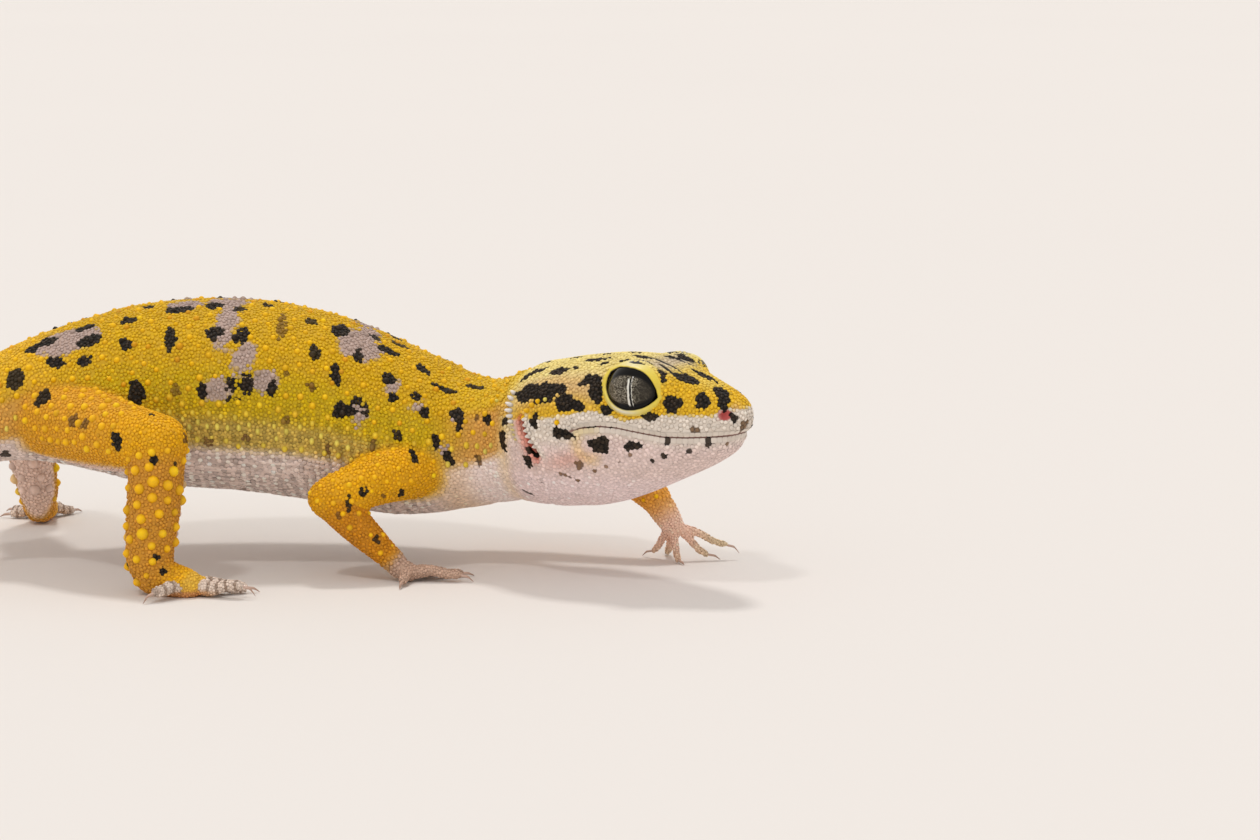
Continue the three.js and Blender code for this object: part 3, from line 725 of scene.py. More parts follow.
# Black spots of the right side: distance from the snout, degrees down from the spine, length and
# height, then the tilt with the front end raised, 0 where it is left out, and the darkness, else 1.
headSpots = [
    (25.2, 59, 5, 2.3), (22.2, 61, 5.4, 1.8, 6), (22.7, 68, 3.6, 1.5, 8), (19.3, 72, 2.8, 2, 10),
    (18, 74, 2.4, 1.5, 12), (17.2, 52, 3, 1.7, 20), (16.1, 57, 1.7, 2.6, -8), (15.7, 65, 1.4, 1.6, -10),
    (22.3, 41, 3.9, 1.5, 14), (26.6, 34, 3.8, 1.2, 35), (18.6, 24, 4, 0.95, 8),
    (16.9, 31, 1.4, 0.6, 40), (13.6, 10, 2.6, 1.2, -8), (13, 25, 3.4, 0.9, -6), (11.3, -11, 2, 1.3),
    (10.6, -24, 2.2, 1.5), (12, -36, 1.8, 1.1, 10), (9, 33, 1.8, 1.1, -40), (16, -4, 1.9, 1.1),
    (18.9, 4, 1.6, 1), (20.8, -9, 2.3, 1.1), (22.8, 9, 2, 1), (24.8, -6, 2.4, 1.2), (27.4, 7, 2.2, 1.1),
    (6.9, 20, 3, 1.5, 4), (6.2, -1, 3.4, 1.2, -4), (4.2, 0, 1.8, 0.5, -4), (2.2, -24, 2.2, 1.3, -30),
    (2.9, 18, 2.1, 1.7, -40), (2.2, 28, 1.6, 1.7, -10), (0.9, 44, 0.7, 1.3, 0, 0.9),
    (7.1, 54, 2.1, 1.8), (4.3, 41, 1.7, 2.1, 10), (9.3, 71, 3, 1, 6, 0.9), (14.4, 73, 1.5, 1.3),
    (4.4, 81, 1.3, 0.95, 0, 0.6), (3.2, 100, 0.55, 1.1, 0, 0.75), (7.5, 97, 0.75, 1, 0, 0.8),
    (5.3, 111, 0.8, 0.65, 0, 0.7), (1.9, 116, 0.4, 0.4, 0, 0.5), (8, 114, 0.9, 0.65, 0, 0.85),
    (9.5, 119, 0.7, 0.45, 0, 0.9), (11.3, 103, 2, 1.2, 0, 0.9), (15.3, 103, 2.3, 2.1),
    (19.5, 97, 2.9, 1.1, -8), (20.4, 94, 1.2, 1), (23.2, 84, 1.2, 1.7, -10),
    (17.9, 120, 1.2, 1.1, 0, 0.6), (16.3, 125, 0.6, 0.5, 0, 0.6), (19.7, 129, 1.7, 0.45, -28, 0.55),
    (20.6, 127, 0.6, 0.6, 0, 0.5), (18.6, 133, 0.6, 0.4, -30, 0.6), (14.8, 122, 0.5, 0.3, 0, 0.4),
    (13.2, 118, 0.4, 0.3, 0, 0.4), (23.5, 133, 0.4, 0.3, 0, 0.5), (26.8, 142, 1.5, 0.45, -28, 0.7),
    (23.5, 112, 1.3, 1.1, -20), (24.9, 113, 1.3, 1.7, 20), (16.3, 89, 1.2, 0.35, 0, 0.74),
    (13.7, 86, 0.8, 0.3, 0, 0.74), (6.3, 118, 0.4, 0.3, 0, 0.4), (4.6, 117, 0.4, 0.3, 0, 0.4),
    (11.9, 112, 0.4, 0.3, 0, 0.4),
]
bodySpots = [
    (28.9, 93, 1.6, 2.8, 10), (32, 66, 1.4, 1.3), (28.6, 76, 0.9, 0.8), (36.7, 58, 1.9, 1.7),
    (36.1, 68, 0.9, 2, 10), (33.9, 62, 0.7, 1.4, 0, 0.6), (35.9, 24, 2.4, 0.8, -5, 0.85),
    (39.4, 37, 2.8, 0.8, 0, 0.9), (43, 25, 2.3, 1.2, -25, 0.95), (46.3, 46, 1.6, 1.5),
    (45.2, 58, 1.1, 1.6, -10), (42.5, 53, 1.4, 1.2), (40.9, 62, 1.1, 1.7),
    (44.1, 84, 1.2, 1.3, 30, 0.9), (41.9, 93, 1.1, 2.3, 35), (39, 84, 1.1, 2, 10),
    (37.2, 98, 1.2, 2.2, 35), (33.4, 103, 0.7, 2, 10, 0.65), (47.5, 22, 2.9, 1.6),
    (46.9, 4, 2, 1.2, 0, 0.7), (50.6, 39, 1.4, 2.3, 5), (53.5, 22, 2, 3.2, -10),
    (49.8, 12, 1.8, 1.4, 0, 0.75), (50.1, 69, 1.2, 1.1), (50.8, 77, 0.8, 2), (48.5, 73, 0.8, 2.1),
    (52.4, 78, 1.2, 1.9), (53.1, 58, 1.3, 2.7, 5), (56, 47, 1.3, 2.2, 0, 0.85),
    (56, 69, 1.1, 1.5, 0, 0.6), (57.2, 22, 1.5, 1.8, 0, 0.7), (60.4, 33, 1.2, 6, 0, 0.45),
    (59.5, 64, 1, 1.2, 0, 0.4), (47.6, 92, 1, 1.3, 0, 0.55), (53.9, 102, 0.9, 1.1, 0, 0.5),
    (59.3, 90, 0.9, 1.3, 0, 0.45), (64.6, 101, 1.2, 1, 0, 0.6), (69.4, 106, 1.1, 1.3, 0, 0.5),
    (71.9, 95, 1.3, 1, 0, 0.6), (61.2, 74, 1.1, 1.8), (64.3, 71, 1.1, 3.6), (65.3, 43, 1.7, 3.2, -15),
    (66.5, 72, 1.3, 2.1), (66.6, 81, 0.8, 1.3), (70.1, 77, 1.1, 2.8), (68.7, 43, 2, 2.1),
    (69.2, 16, 2.2, 2.4), (66, 20, 1.8, 1.8, 0, 0.8), (74.3, 46, 1.3, 4.2, 0, 0.95), (73.4, 20, 3.4, 2),
    (73.5, 76, 1, 2, 0, 0.35), (78.5, 79, 1.9, 3, 5, 0.95), (79.8, 48, 1.9, 1.9),
    (79.2, 26, 2.7, 1.3, 20, 0.95), (85, 55, 1.5, 1.6), (84.4, 38, 2.8, 2), (84.7, 21, 2.8, 1.6),
    (88.6, 51, 2.8, 1.5, -25), (89.2, 22, 2.4, 2), (91.1, 26, 1.9, 1.8),
    (93.5, 54, 2.2, 2.9, -10, 0.85), (94.7, 134, 1.2, 1.6, 0, 0.7), (62.8, 10, 1.6, 1.4, 0, 0.8),
    (77, 8, 1.8, 1.4, 0, 0.9),
]
# Painted shade in the creases of the skin between the eyes and the snout, as dark lines: place, length and
# tilt.
browCreaseShade = [(11.1, 10, 2.8, -12), (8.9, 13, 2.6, -16), (9.7, 20, 2.2, -16)]
browHeight = 0.34
# Grey-violet patches between the spots: place, length, height and tilt.
violetPatches = [
    (87.8, 30, 6.4, 5.2, -8), (84.6, 30, 3.4, 4.4), (72.6, 12, 4.4, 3.6), (67.2, 32, 2.7, 9.4, -8),
    (67.6, 8, 5, 3.6), (64.8, 58, 2.6, 5, -22), (62, 69, 3, 2.8), (68.2, 76, 3.6, 2.8),
    (51.2, 26, 4.2, 6.2, -20), (49.2, 32, 2.2, 4, -30), (49.6, 76, 2.2, 2.9), (45.6, 51, 1.4, 2.2, -20),
    (42, 59, 1, 1.6, -20), (38.4, 89, 1.1, 1.2), (50.4, 8, 3, 4), (36.4, 64, 1.1, 1),
]
# Spots on the limbs, and one at the snout's tip: place in millimetres, length, height, darkness.
limbSpots = [
    ((-63.9, 8.5, 19.1), 1.5, 1.7, 0.6), ((-62.4, 7.4, 18.9), 1.3, 1.3, 0.5),
    ((-58.3, 4.7, 17.4), 1.6, 2.4), ((-53.9, 2.8, 15.4), 0.95, 1.3),
    ((-54.5, 5.6, 20.2), 0.8, 0.9, 0.9), ((-51.4, 3.2, 14.6), 0.6, 1.3, 0.7),
    ((-68.2, 13.2, 20.9), 2.2, 2.4, 0.9), ((-53.8, 1, 4.6), 1.1, 1.1), ((-53.1, 1, 2.9), 0.8, 0.8),
    ((-57.2, 2.2, 3.3), 0.6, 0.7), ((-56.3, 1.9, 1.9), 0.6, 0.6), ((-30.7, 9.3, 10.6), 1.1, 1.2, 0.95),
    ((-28.7, 10.7, 10), 0.8, 0.8, 0.5), ((-26.8, 11.8, 10.3), 1, 1.1, 0.9),
    ((-32.6, 9.1, 9.4), 0.8, 1.6, 0.8), ((-33.6, 8.4, 8.2), 0.7, 0.9, 0.5),
    ((-29.4, 9.1, 5), 0.7, 0.9, 0.7), ((-71, 31, 21), 2, 1.6), ((-76, 38, 21), 1.5, 1.5),
    ((-78.5, 43, 15), 1.2, 1.6), ((-73, 46, 10), 1, 1.2, 0.9), ((-77, 46, 7), 0.9, 0.9, 0.9),
    ((-10, 30.5, 15), 1.3, 1.3), ((-5, 28.6, 14.5), 1, 1.2, 0.9), ((-14, 30, 16.5), 1, 1.2, 0.9),
    ((13.1, 0.6, 19.7), 1.4, 1.4, 0.62),
]


def spotFrame(at, down):
    # A place on the skin and its axes: toward the snout, up the side, out.
    level = float(tableAt(spine["sections"], at, 2))
    ahead, left = spineAxes(spineIndex(at))
    turn = math.radians(down)
    way = -left * math.sin(turn) + Vector((0, 0, math.cos(turn)))
    start = bodyPoint(at, 0, level)
    hit, normal, _, _ = skinTree.ray_cast(start + way * 25, -way)
    ahead = (ahead - normal * ahead.dot(normal)).normalized()
    return hit, ahead, normal.cross(ahead) * (1 if down >= 0 else -1), normal


def pointFrame(spot):
    hit, normal, _, _ = skinTree.find_nearest(Vector(spot))
    up = Vector((0, 0, 1)) - normal * normal.z
    up = up.normalized() if up.length > 0.2 else normal.orthogonal().normalized()
    return hit, up.cross(normal), up, normal


marks = []


def stamp(kind, frameAt, length, height, tilt=0, dark=1.0):
    hit, ahead, up, normal = (np.array(v) for v in frameAt)
    c, s = math.cos(math.radians(tilt)), math.sin(math.radians(tilt))
    marks.append((kind, hit, ahead * c + up * s, up * c - ahead * s, normal, length, height, dark))


def marksAt(points):
    # How far inside a mark of each kind the points lie, in millimetres, and how dark its ink is.
    inside = {kind: np.full(len(points), -3.0) for kind in ("spot", "violet", "line")}
    shade = np.ones(len(points))
    x, y, z = points.T
    # A slow waver makes the edges uneven.
    wobble = np.sin(3.1 * x + 1.7 * y) + np.sin(2.9 * y - 2.3 * z + 1) + np.sin(3.4 * z + 1.9 * x + 2)
    for kind, hit, across, rise, normal, length, height, dark in marks:
        reach = points - hit
        near = np.flatnonzero((np.abs(reach) < max(length, height) / 2 + 1.5).all(1))
        reach = reach[near]
        small = min(length, height)
        out = np.hypot(reach @ across / (length / 2), reach @ rise / (height / 2))
        value = (1 - out) * small / 2 + 0.06 * min(small, 1.5) * wobble[near]
        value[np.abs(reach @ normal) > 3] = -9
        better = value > inside[kind][near]
        inside[kind][near[better]] = value[better]
        if kind == "spot":
            shade[near[better]] = dark
    return inside["spot"], shade, inside["violet"], inside["line"]


# Bands round the tail, of grey-violet with black flecks at their edges, and loose flecks.
tailMarks = {
    "bands": (104, 116, 129, 142, 154), "turns": range(-90, 91, 30), "height": 4.5,
    "share": 0.75, "flecks": 26,
}


def markBoth(draw, at, down, length, height, tilt=0, dark=1):
    # A spot of the right side and, away from the spine, a loose copy of it on the left.
    stamp("spot", spotFrame(at, down), length, height, tilt, dark)
    if down > 34 or at > 14 and down > 8:
        jig = draw.normal(0, 1, 5)
        loose = 0.35 if at < 28 else 1.2
        stamp(
            "spot", spotFrame(at + jig[0] * loose, -(down + jig[1] * loose * 2.5)),
            length * (1 + 0.1 * jig[2]), height * (1 + 0.1 * jig[3]), tilt + jig[4] * 8, dark,
        )


def markTail(draw):
    for band in tailMarks["bands"]:
        width = 4.6 - 0.02 * band
        for down in tailMarks["turns"]:
            stamp("violet", spotFrame(band + draw.normal(0, 0.3), down), width, tailMarks["height"])
            for edge in (-0.5, 0.5):
                if draw.random() < tailMarks["share"]:
                    size = draw.uniform(1.0, 2.0) * (1.25 - 0.004 * band)
                    at = band + edge * width + draw.normal(0, 0.3)
                    spot = spotFrame(at, down + draw.normal(0, 7))
                    stamp("spot", spot, size, size * draw.uniform(0.8, 1.5))
    for _ in range(tailMarks["flecks"]):
        at, down = draw.uniform(98, 158), draw.uniform(-100, 100)
        size = draw.uniform(0.7, 1.3)
        stamp("spot", spotFrame(at, down), size, size * 1.3)


def markSkin():
    draw = np.random.default_rng(5)
    for spot in headSpots + bodySpots:
        markBoth(draw, *spot)
    for at, down, *size in violetPatches:
        stamp("violet", spotFrame(at, down), *size)
        stamp("violet", spotFrame(at + draw.normal(0, 0.8), -down - 2), *size)
    for at, down, length, tilt in browCreaseShade:
        for hand in hands.values():
            stamp("line", spotFrame(at, -down * hand), length, browHeight, tilt)
    for spot, length, height, *dark in limbSpots:
        stamp("spot", pointFrame(spot), length, height, 0, *dark)
    markTail(draw)


markSkin()
skinSpot, skinShade, skinViolet, skinCreaseShade = marksAt(skinPoints)
print("markings placed", len(marks))

# Colours

palette = {
    "back": (212, 168, 0), "upperFlank": (204, 172, 0), "flank": (196, 168, 78),
    # The belly, the underside of the neck, the jaw and the throat are pale skin, made paler still as
    # painted light against the shade beneath the body and head.
    "belly": (230, 212, 204), "rump": (226, 178, 30), "rumpSide": (214, 160, 72),
    "neckTop": (218, 178, 30), "neckSide": (214, 160, 78), "neckUnder": (242, 224, 218),
    "crown": (234, 214, 134), "temple": (214, 182, 152), "snout": (226, 180, 30),
    "snoutTip": (222, 184, 150), "lips": (228, 217, 204), "jaw": (228, 206, 200),
    "jawCorner": (206, 142, 126), "throat": (238, 217, 216), "ear": (205, 84, 66),
    "earEdge": (226, 140, 120), "tail": (212, 192, 154), "tailUnder": (222, 208, 196),
    "thigh": (222, 160, 34), "leg": (230, 170, 4), "shank": (206, 144, 44), "foreArm": (204, 134, 14),
    "palm": (196, 164, 144), "toes": (224, 206, 192), "crease": (112, 88, 72), "sole": (215, 150, 90),
    # The far fore limb's colours are lighter copies of the near limb's: painted light where it lies in the
    # head's shade.
    "farArmLit": (238, 168, 66), "farPalmLit": (246, 206, 184), "farToesLit": (226, 202, 166),
    "inner": (232, 204, 190), "brow": (192, 176, 160), "spot": (24, 19, 15), "brownSpot": (92, 62, 34),
    "violet": (176, 156, 160), "mouth": (122, 66, 62), "nostril": (196, 96, 92), "bead": (244, 190, 6),
    "beadAmber": (230, 166, 10), "beadFlank": (230, 212, 96), "beadLeg": (254, 192, 8),
    "beadTail": (230, 210, 138), "white": (240, 233, 224), "lidYellow": (234, 208, 66),
    "lidCream": (236, 224, 166), "lidPale": (232, 226, 200), "drum": (186, 74, 52),
    "claw": (206, 176, 160), "clawTip": (150, 112, 92),
}


def colour(name):
    return np.array(palette[name]) / 255


def linear(values):
    return np.where(values <= 0.04045, values / 12.92, ((values + 0.055) / 1.055) ** 2.4)


def blend(base, name, share):
    return base + (colour(name) - base) * np.clip(share, 0, 1)[:, None]


def layered(tint, *layers):
    for name, share in layers:
        tint = blend(tint, name, share)
    return tint


def bodyTint(at, down):
    tint = layered(
        np.tile(colour("back"), (len(at), 1)),
        ("upperFlank", ramp(down, 55, 75)),
        ("flank", ramp(down, 84, 96)),
        ("belly", ramp(down, 104, 113)),
    )
    # Painted shade and light: low on the flank the colour is lighter on the ridges of the folds and darker
    # in their grooves.
    wave = folds(at, down) * ramp(down, 66, 96) * ramp(at, 36, 44) * ramp(at, 97, 88)
    tint = np.clip(tint * (1 + 0.13 * wave)[:, None], 0, 1)
    rear, neck, tail = ramp(at, 84, 92), ramp(at, 42, 33), ramp(at, 96, 113)
    return layered(
        tint,
        ("rump", rear * ramp(down, 80, 60)),
        ("rumpSide", rear * ramp(down, 62, 78) * ramp(down, 118, 104)),
        ("neckTop", neck * ramp(down, 66, 48)),
        ("neckSide", neck * ramp(down, 48, 66)),
        ("neckUnder", neck * ramp(down, 98, 112)),
        ("tail", tail),
        ("tailUnder", tail * ramp(down, 92, 120)),
    )


def headTint(tint, at, side, z, down):
    head = ramp(at, 31, 26.5)
    edge = tableAt(headCarving["lipEdge"], at)
    low = z - mouthHeight(at)
    corner = bump(at, 19.2, 3.0) * bump(z - (15.2 - (at - 19) * 0.25), 0, 1.0)
    halo = bump(np.hypot(at - 16.3, (z - 17.3) * 0.9), 1.7, 0.7)
    halo = halo * ramp(low, 0.2, -0.2) * ramp(at, 14.5, 16.5)
    length, across = earPlace(at, z)
    flank = ramp(np.abs(side), 5.5, 6.5) * ramp(np.abs(length), 3.4, 2.2) * head
    mouthEnd = headCarving["mouthEnd"]
    hole = nostrilReach(at, z)
    outer = np.abs(side) > 1.2
    return layered(
        tint,
        ("snout", head),
        ("crown", head * ramp(down, 62, 46) * ramp(at, 7.5, 11)),
        ("crown", head * ramp(down, 34, 12) * ramp(at, 2, 4) * 0.5),
        ("brow", head * bump(at, 10.4, 1.9) * ramp(down, 34, 20) * 0.8),
        ("temple", head * bump(down, 60, 14) * ramp(at, 14.5, 16.5) * 0.75),
        ("crown", head * ramp(at, 26, 28) * ramp(down, 90, 60) * 0.6),
        ("snoutTip", head * ramp(at, 1.7, 0.9) * ramp(down, 5, 30) * 0.8),
        ("lips", head * ramp(z - edge, 0.15, -0.25)),
        ("jaw", head * ramp(low, 0.0, -2.0)),
        ("throat", head * ramp(z, 14.4, 11.8)),
        ("jawCorner", head * corner * 0.45),
        ("snout", head * halo * 0.22),
        ("earEdge", flank * bump(across, 0.7, 0.5) * 0.6),
        ("lips", flank * bump(across, -0.95, 0.45)),
        ("ear", flank * bump(across, 0, 0.45)),
        ("mouth", head * bump(low, 0, 0.13) * ramp(at, mouthEnd, mouthEnd - 1) * 0.8),
        ("lips", head * ramp(hole, 0.95, 0.7) * outer),
        ("nostril", head * ramp(hole, 0.72, 0.5) * outer),
    )


def limbTint(place):
    limb, along, digit, z = (place[key] for key in ("limb", "along", "digit", "z"))
    near, far, hind = limb == 0, limb == 1, limb >= 2
    return layered(
        np.tile(colour("leg"), (len(along), 1)),
        ("thigh", hind * ramp(along, 0.5, 0.3)),
        ("shank", hind * ramp(along, 0.5, 0.58) * ramp(along, 0.98, 0.9)),
        ("foreArm", near * ramp(along, 0.45, 0.65)),
        # Painted light: the far fore limb is coloured lighter than the near one.
        ("farArmLit", far * 1.0),
        ("farPalmLit", far * ramp(along, 0.86, 1.0)),
        ("farToesLit", far * ramp(along, 1.06, 1.2)),
        ("inner", hind * place["inner"] * ramp(along, 0.95, 0.85)),
        ("palm", near * ramp(along, 0.86, 0.95)),
        ("toes", hind * ramp(along, 0.97, 1.05)),
        ("crease", hind * (digit > 0.6) * ramp(np.sin(digit * 5.6), 0.3, 0.8) * 0.6),
        ("sole", hind * ramp(z, 1.1, 0.5) * ramp(along, 0.9, 0.96) * ramp(along, 1.12, 1.02)),
    )


def tints(place):
    at, down = place["at"], np.abs(place["round"])
    tint = headTint(bodyTint(at, down), at, place["side"], place["z"], down)
    return tint + (limbTint(place) - tint) * place["onLimb"][:, None]


def shown(tint, spot, shade, violet, grain):
    # The final colour where the markings have sharp edges, as on single scales.
    tint = blend(tint, "violet", ramp(violet + grain * 0.2, -0.2, 0.2) * 0.92)
    ink = np.where(shade[:, None] > 0.66, colour("spot"), colour("brownSpot"))
    share = (spot - 0.03 + grain * 0.03 > 0) * (0.35 + 0.65 * shade)
    return tint + (ink - tint) * share[:, None]


skinTint = tints(skinPlace)


class Nodes:
    # A small helper for writing shader nodes.
    def __init__(self, material):
        material.use_nodes = True
        self.tree = material.node_tree
        self.surface = self.tree.nodes["Principled BSDF"]

    def add(self, kind, inputs=(), **settings):
        node = self.tree.nodes.new(kind)
        for name, value in settings.items():
            setattr(node, name, value)
        for key, value in dict(inputs).items():
            self.set(node.inputs[key], value)
        return node

    def set(self, socket, value):
        if isinstance(value, bpy.types.NodeSocket):
            self.tree.links.new(value, socket)
        else:
            socket.default_value = value

    def maths(self, kind, a, b=0.0, c=0.0):
        node = self.add("ShaderNodeMath", {0: a, 1: b, 2: c}, operation=kind)
        return node.outputs[0]

    def times(self, a, b):
        return self.maths("MULTIPLY", a, b)

    def plus(self, a, b):
        return self.maths("ADD", a, b)

    def minus(self, a, b):
        return self.maths("SUBTRACT", a, b)

    def attribute(self, name, vector=False):
        node = self.add("ShaderNodeAttribute", attribute_name=name)
        return node.outputs["Vector" if vector else "Color"], node.outputs["Fac"]

    def noise(self, scale, detail=2.0, vector=None):
        vector = vector or self.add("ShaderNodeTexCoord").outputs["Object"]
        node = self.add("ShaderNodeTexNoise", {"Vector": vector, "Scale": scale, "Detail": detail})
        return node.outputs["Fac"]

    def step(self, value, low, high):
        ends = {"Value": value, "From Min": low, "From Max": high}
        node = self.add("ShaderNodeMapRange", ends, interpolation_type="SMOOTHSTEP")
        return node.outputs["Result"]

    def mix(self, share, a, b):
        node = self.add("ShaderNodeMix", data_type="RGBA")
        for key, value in ((0, share), (6, a), (7, b)):
            self.set(node.inputs[key], value)
        return node.outputs[2]

    def bump(self, height, strength, distance):
        node = self.add("ShaderNodeBump", {"Height": height, "Strength": strength, "Distance": distance})
        self.set(self.surface.inputs["Normal"], node.outputs["Normal"])

    def finish(self, tint, roughness, **constants):
        self.set(self.surface.inputs["Base Color"], tint)
        self.surface.inputs["Roughness"].default_value = roughness
        for name, value in constants.items():
            self.surface.inputs[name.replace("_", " ")].default_value = value


def shaderColour(values):
    return (*linear(np.array(values) / 255), 1)


def flat(name):
    return shaderColour(palette[name])


shaderTints = {
    # The darker floor colour is used for the painted shade clouds on the floor.
    "blotch": (0.35, 0.2, 0.1, 1), "speckle": (0.3, 0.2, 0.12, 1), "paperShade": (0.7, 0.67, 0.64, 1),
}


def skinMaterial():
    material = bpy.data.materials.new("gecko_skin")
    n = Nodes(material)
    tint, _ = n.attribute("tint")
    spot, shade, violet, line = (
        n.attribute(name)[1] for name in ("spot", "shade", "violet", "line")
    )
    grain = n.minus(n.noise(2600, 3), 0.5)
    blotch = n.step(n.noise(650, 3), 0.3, 0.7)
    tint = n.mix(n.times(blotch, 0.16), tint, shaderTints["blotch"])
    edge = n.maths("MULTIPLY_ADD", grain, 1.2, violet)
    tint = n.mix(n.times(n.step(edge, -0.25, 0.25), 0.8), tint, flat("violet"))
    edge = n.maths("MULTIPLY_ADD", grain, 0.6, n.plus(spot, 0.02))
    ink = n.mix(n.step(shade, 0.55, 0.75), flat("brownSpot"), flat("spot"))
    tint = n.mix(n.times(n.step(edge, -0.06, 0.06), n.step(shade, -0.5, 1.0)), tint, ink)
    # Painted shade: near-black lines in the creases of the brow.
    tint = n.mix(n.step(line, -0.12, 0.0), tint, flat("spot"))
    n.bump(n.noise(5200, 2), 0.25, 0.00004)
    n.finish(tint, 0.55, Specular_IOR_Level=0.15)
    return material


irisShape = {
    # In millimetres forward and up from the middle of the eye.
    "middle": (0.08, -0.24), "half": (2.85, 1.72),
    # The slit leans a little back at its top. Bright edges lie behind it and before it, each given
    # as where it begins and is full, and where it thins and ends.
    "slitMiddle": (0.6, -0.47), "slitLean": -5.6, "slitReach": (1.62, 1.35),
    "slit": (-0.12, -0.08, 0.09, 0.13), "waver": 0.16,
    "behind": (-0.36, -0.28, -0.1, -0.04), "before": (0.1, 0.14, 0.19, 0.27),
}
irisColours = {
    "black": (0.003, 0.003, 0.003, 1), "groundFront": (0.02, 0.015, 0.01, 1),
    "groundBack": (0.07, 0.058, 0.042, 1), "fleck": (0.46, 0.41, 0.31, 1),
    "shadow": (0.02, 0.016, 0.011, 1), "vein": (0.025, 0.02, 0.014, 1),
    "edge": (0.78, 0.76, 0.68, 1), "slit": (0.002, 0.002, 0.002, 1), "back": (0.02, 0.012, 0.01, 1),
}


def eyeMaterial():
    material = bpy.data.materials.new("gecko_eye")
    n = Nodes(material)
    shape, tints = irisShape, irisColours
    gaze, _ = n.attribute("gaze", vector=True)
    parts = n.add("ShaderNodeSeparateXYZ", {0: gaze})
    x, y = parts.outputs[0], parts.outputs[1]
    facing = n.step(parts.outputs[2], 0.0, 0.3)

    def within(value, rise, full, thin, end):
        return n.times(n.step(value, rise, full), n.step(value, end, thin))

    wide = n.maths("DIVIDE", n.minus(x, shape["middle"][0]), shape["half"][0])
    tall = n.maths("DIVIDE", n.minus(y, shape["middle"][1]), shape["half"][1])
    out = n.maths("SQRT", n.plus(n.times(wide, wide), n.times(tall, tall)))
    veins = n.noise(3.4, 5, gaze)
    fine = n.noise(11.0, 3, gaze)
    ground = n.mix(n.step(x, 0.4, -1.6), tints["groundFront"], tints["groundBack"])
    silver = n.mix(n.step(fine, 0.5, 0.61), ground, tints["fleck"])
    silver = n.mix(n.times(n.step(x, 0.9, 1.9), 0.75), silver, tints["shadow"])
    silver = n.mix(n.times(n.step(veins, 0.5, 0.62), 0.8), silver, tints["vein"])
    # The black band at the edge of the iris is partly the dark rim of the eye and partly painted shade
    # under the lids.
    rim = n.step(n.maths("MULTIPLY_ADD", n.minus(fine, 0.5), 0.25, out), 1.02, 0.86)
    tint = n.mix(rim, tints["black"], silver)
    lean = math.radians(shape["slitLean"])
    away = n.minus(x, shape["slitMiddle"][0])
    high = n.minus(y, shape["slitMiddle"][1])
    across = n.plus(n.times(away, math.cos(lean)), n.times(high, -math.sin(lean)))
    along = n.minus(n.times(high, math.cos(lean)), n.times(away, -math.sin(lean)))
    wave = n.noise(3.2, 1.0, gaze)
    across = n.maths("MULTIPLY_ADD", n.minus(wave, 0.5), shape["waver"], across)
    reach = n.step(n.maths("ABSOLUTE", along), *shape["slitReach"])
    before = n.times(within(across, *shape["before"]), n.step(fine, 0.42, 0.52))
    bright = n.maths("MAXIMUM", within(across, *shape["behind"]), before)
    tint = n.mix(n.times(bright, reach), tint, tints["edge"])
    tint = n.mix(n.times(within(across, *shape["slit"]), reach), tint, tints["slit"])
    tint = n.mix(facing, tints["back"], tint)
    n.finish(
        tint, 0.28, Specular_IOR_Level=0.0, Coat_Weight=1.0, Coat_Roughness=0.02, Coat_IOR=1.24
    )
    return material


def plainMaterial(name, attribute, roughness, scale=0, strength=0.2, **constants):
    material = bpy.data.materials.new(name)
    n = Nodes(material)
    tint, _ = n.attribute(attribute)
    speckle = n.step(n.noise(1800, 2), 0.25, 0.8)
    tint = n.mix(n.times(speckle, 0.14), tint, shaderTints["speckle"])
    if scale:
        n.bump(n.noise(scale, 2), strength, 0.00005)
    n.finish(tint, roughness, **constants)
    return material


materials = {
    "skin": skinMaterial(),
    "eye": eyeMaterial(),
    "lid": plainMaterial("gecko_lid", "tint", 0.42, 6000),
    "claw": plainMaterial("gecko_claw", "tint", 0.35, 3000, Coat_Weight=0.3),
    "ear": plainMaterial("gecko_ear", "tint", 0.3, 3000, Coat_Weight=0.5),
    "scales": plainMaterial("gecko_scales", "tint", 0.48, Specular_IOR_Level=0.16),
}


def settle(obj, slot, *replaced):
    obj.data.transform(toMetres)
    obj.data.update()
    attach(obj, "root")
    if replaced:
        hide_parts(*replaced)


def showSkin():
    values = (skinSpot, skinShade, skinViolet, skinCreaseShade)
    for name, value in zip(("spot", "shade", "violet", "line"), values):
        setNumbers(skinMesh, name, value)
    setNumbers(skinMesh, "tint", linear(skinTint))
    obj = addObject("skin", skinMesh, materials["skin"])
    settle(obj, "skin", *bodyNodes, *headNodes[:2], *limbNodes)


showSkin()

# Scales

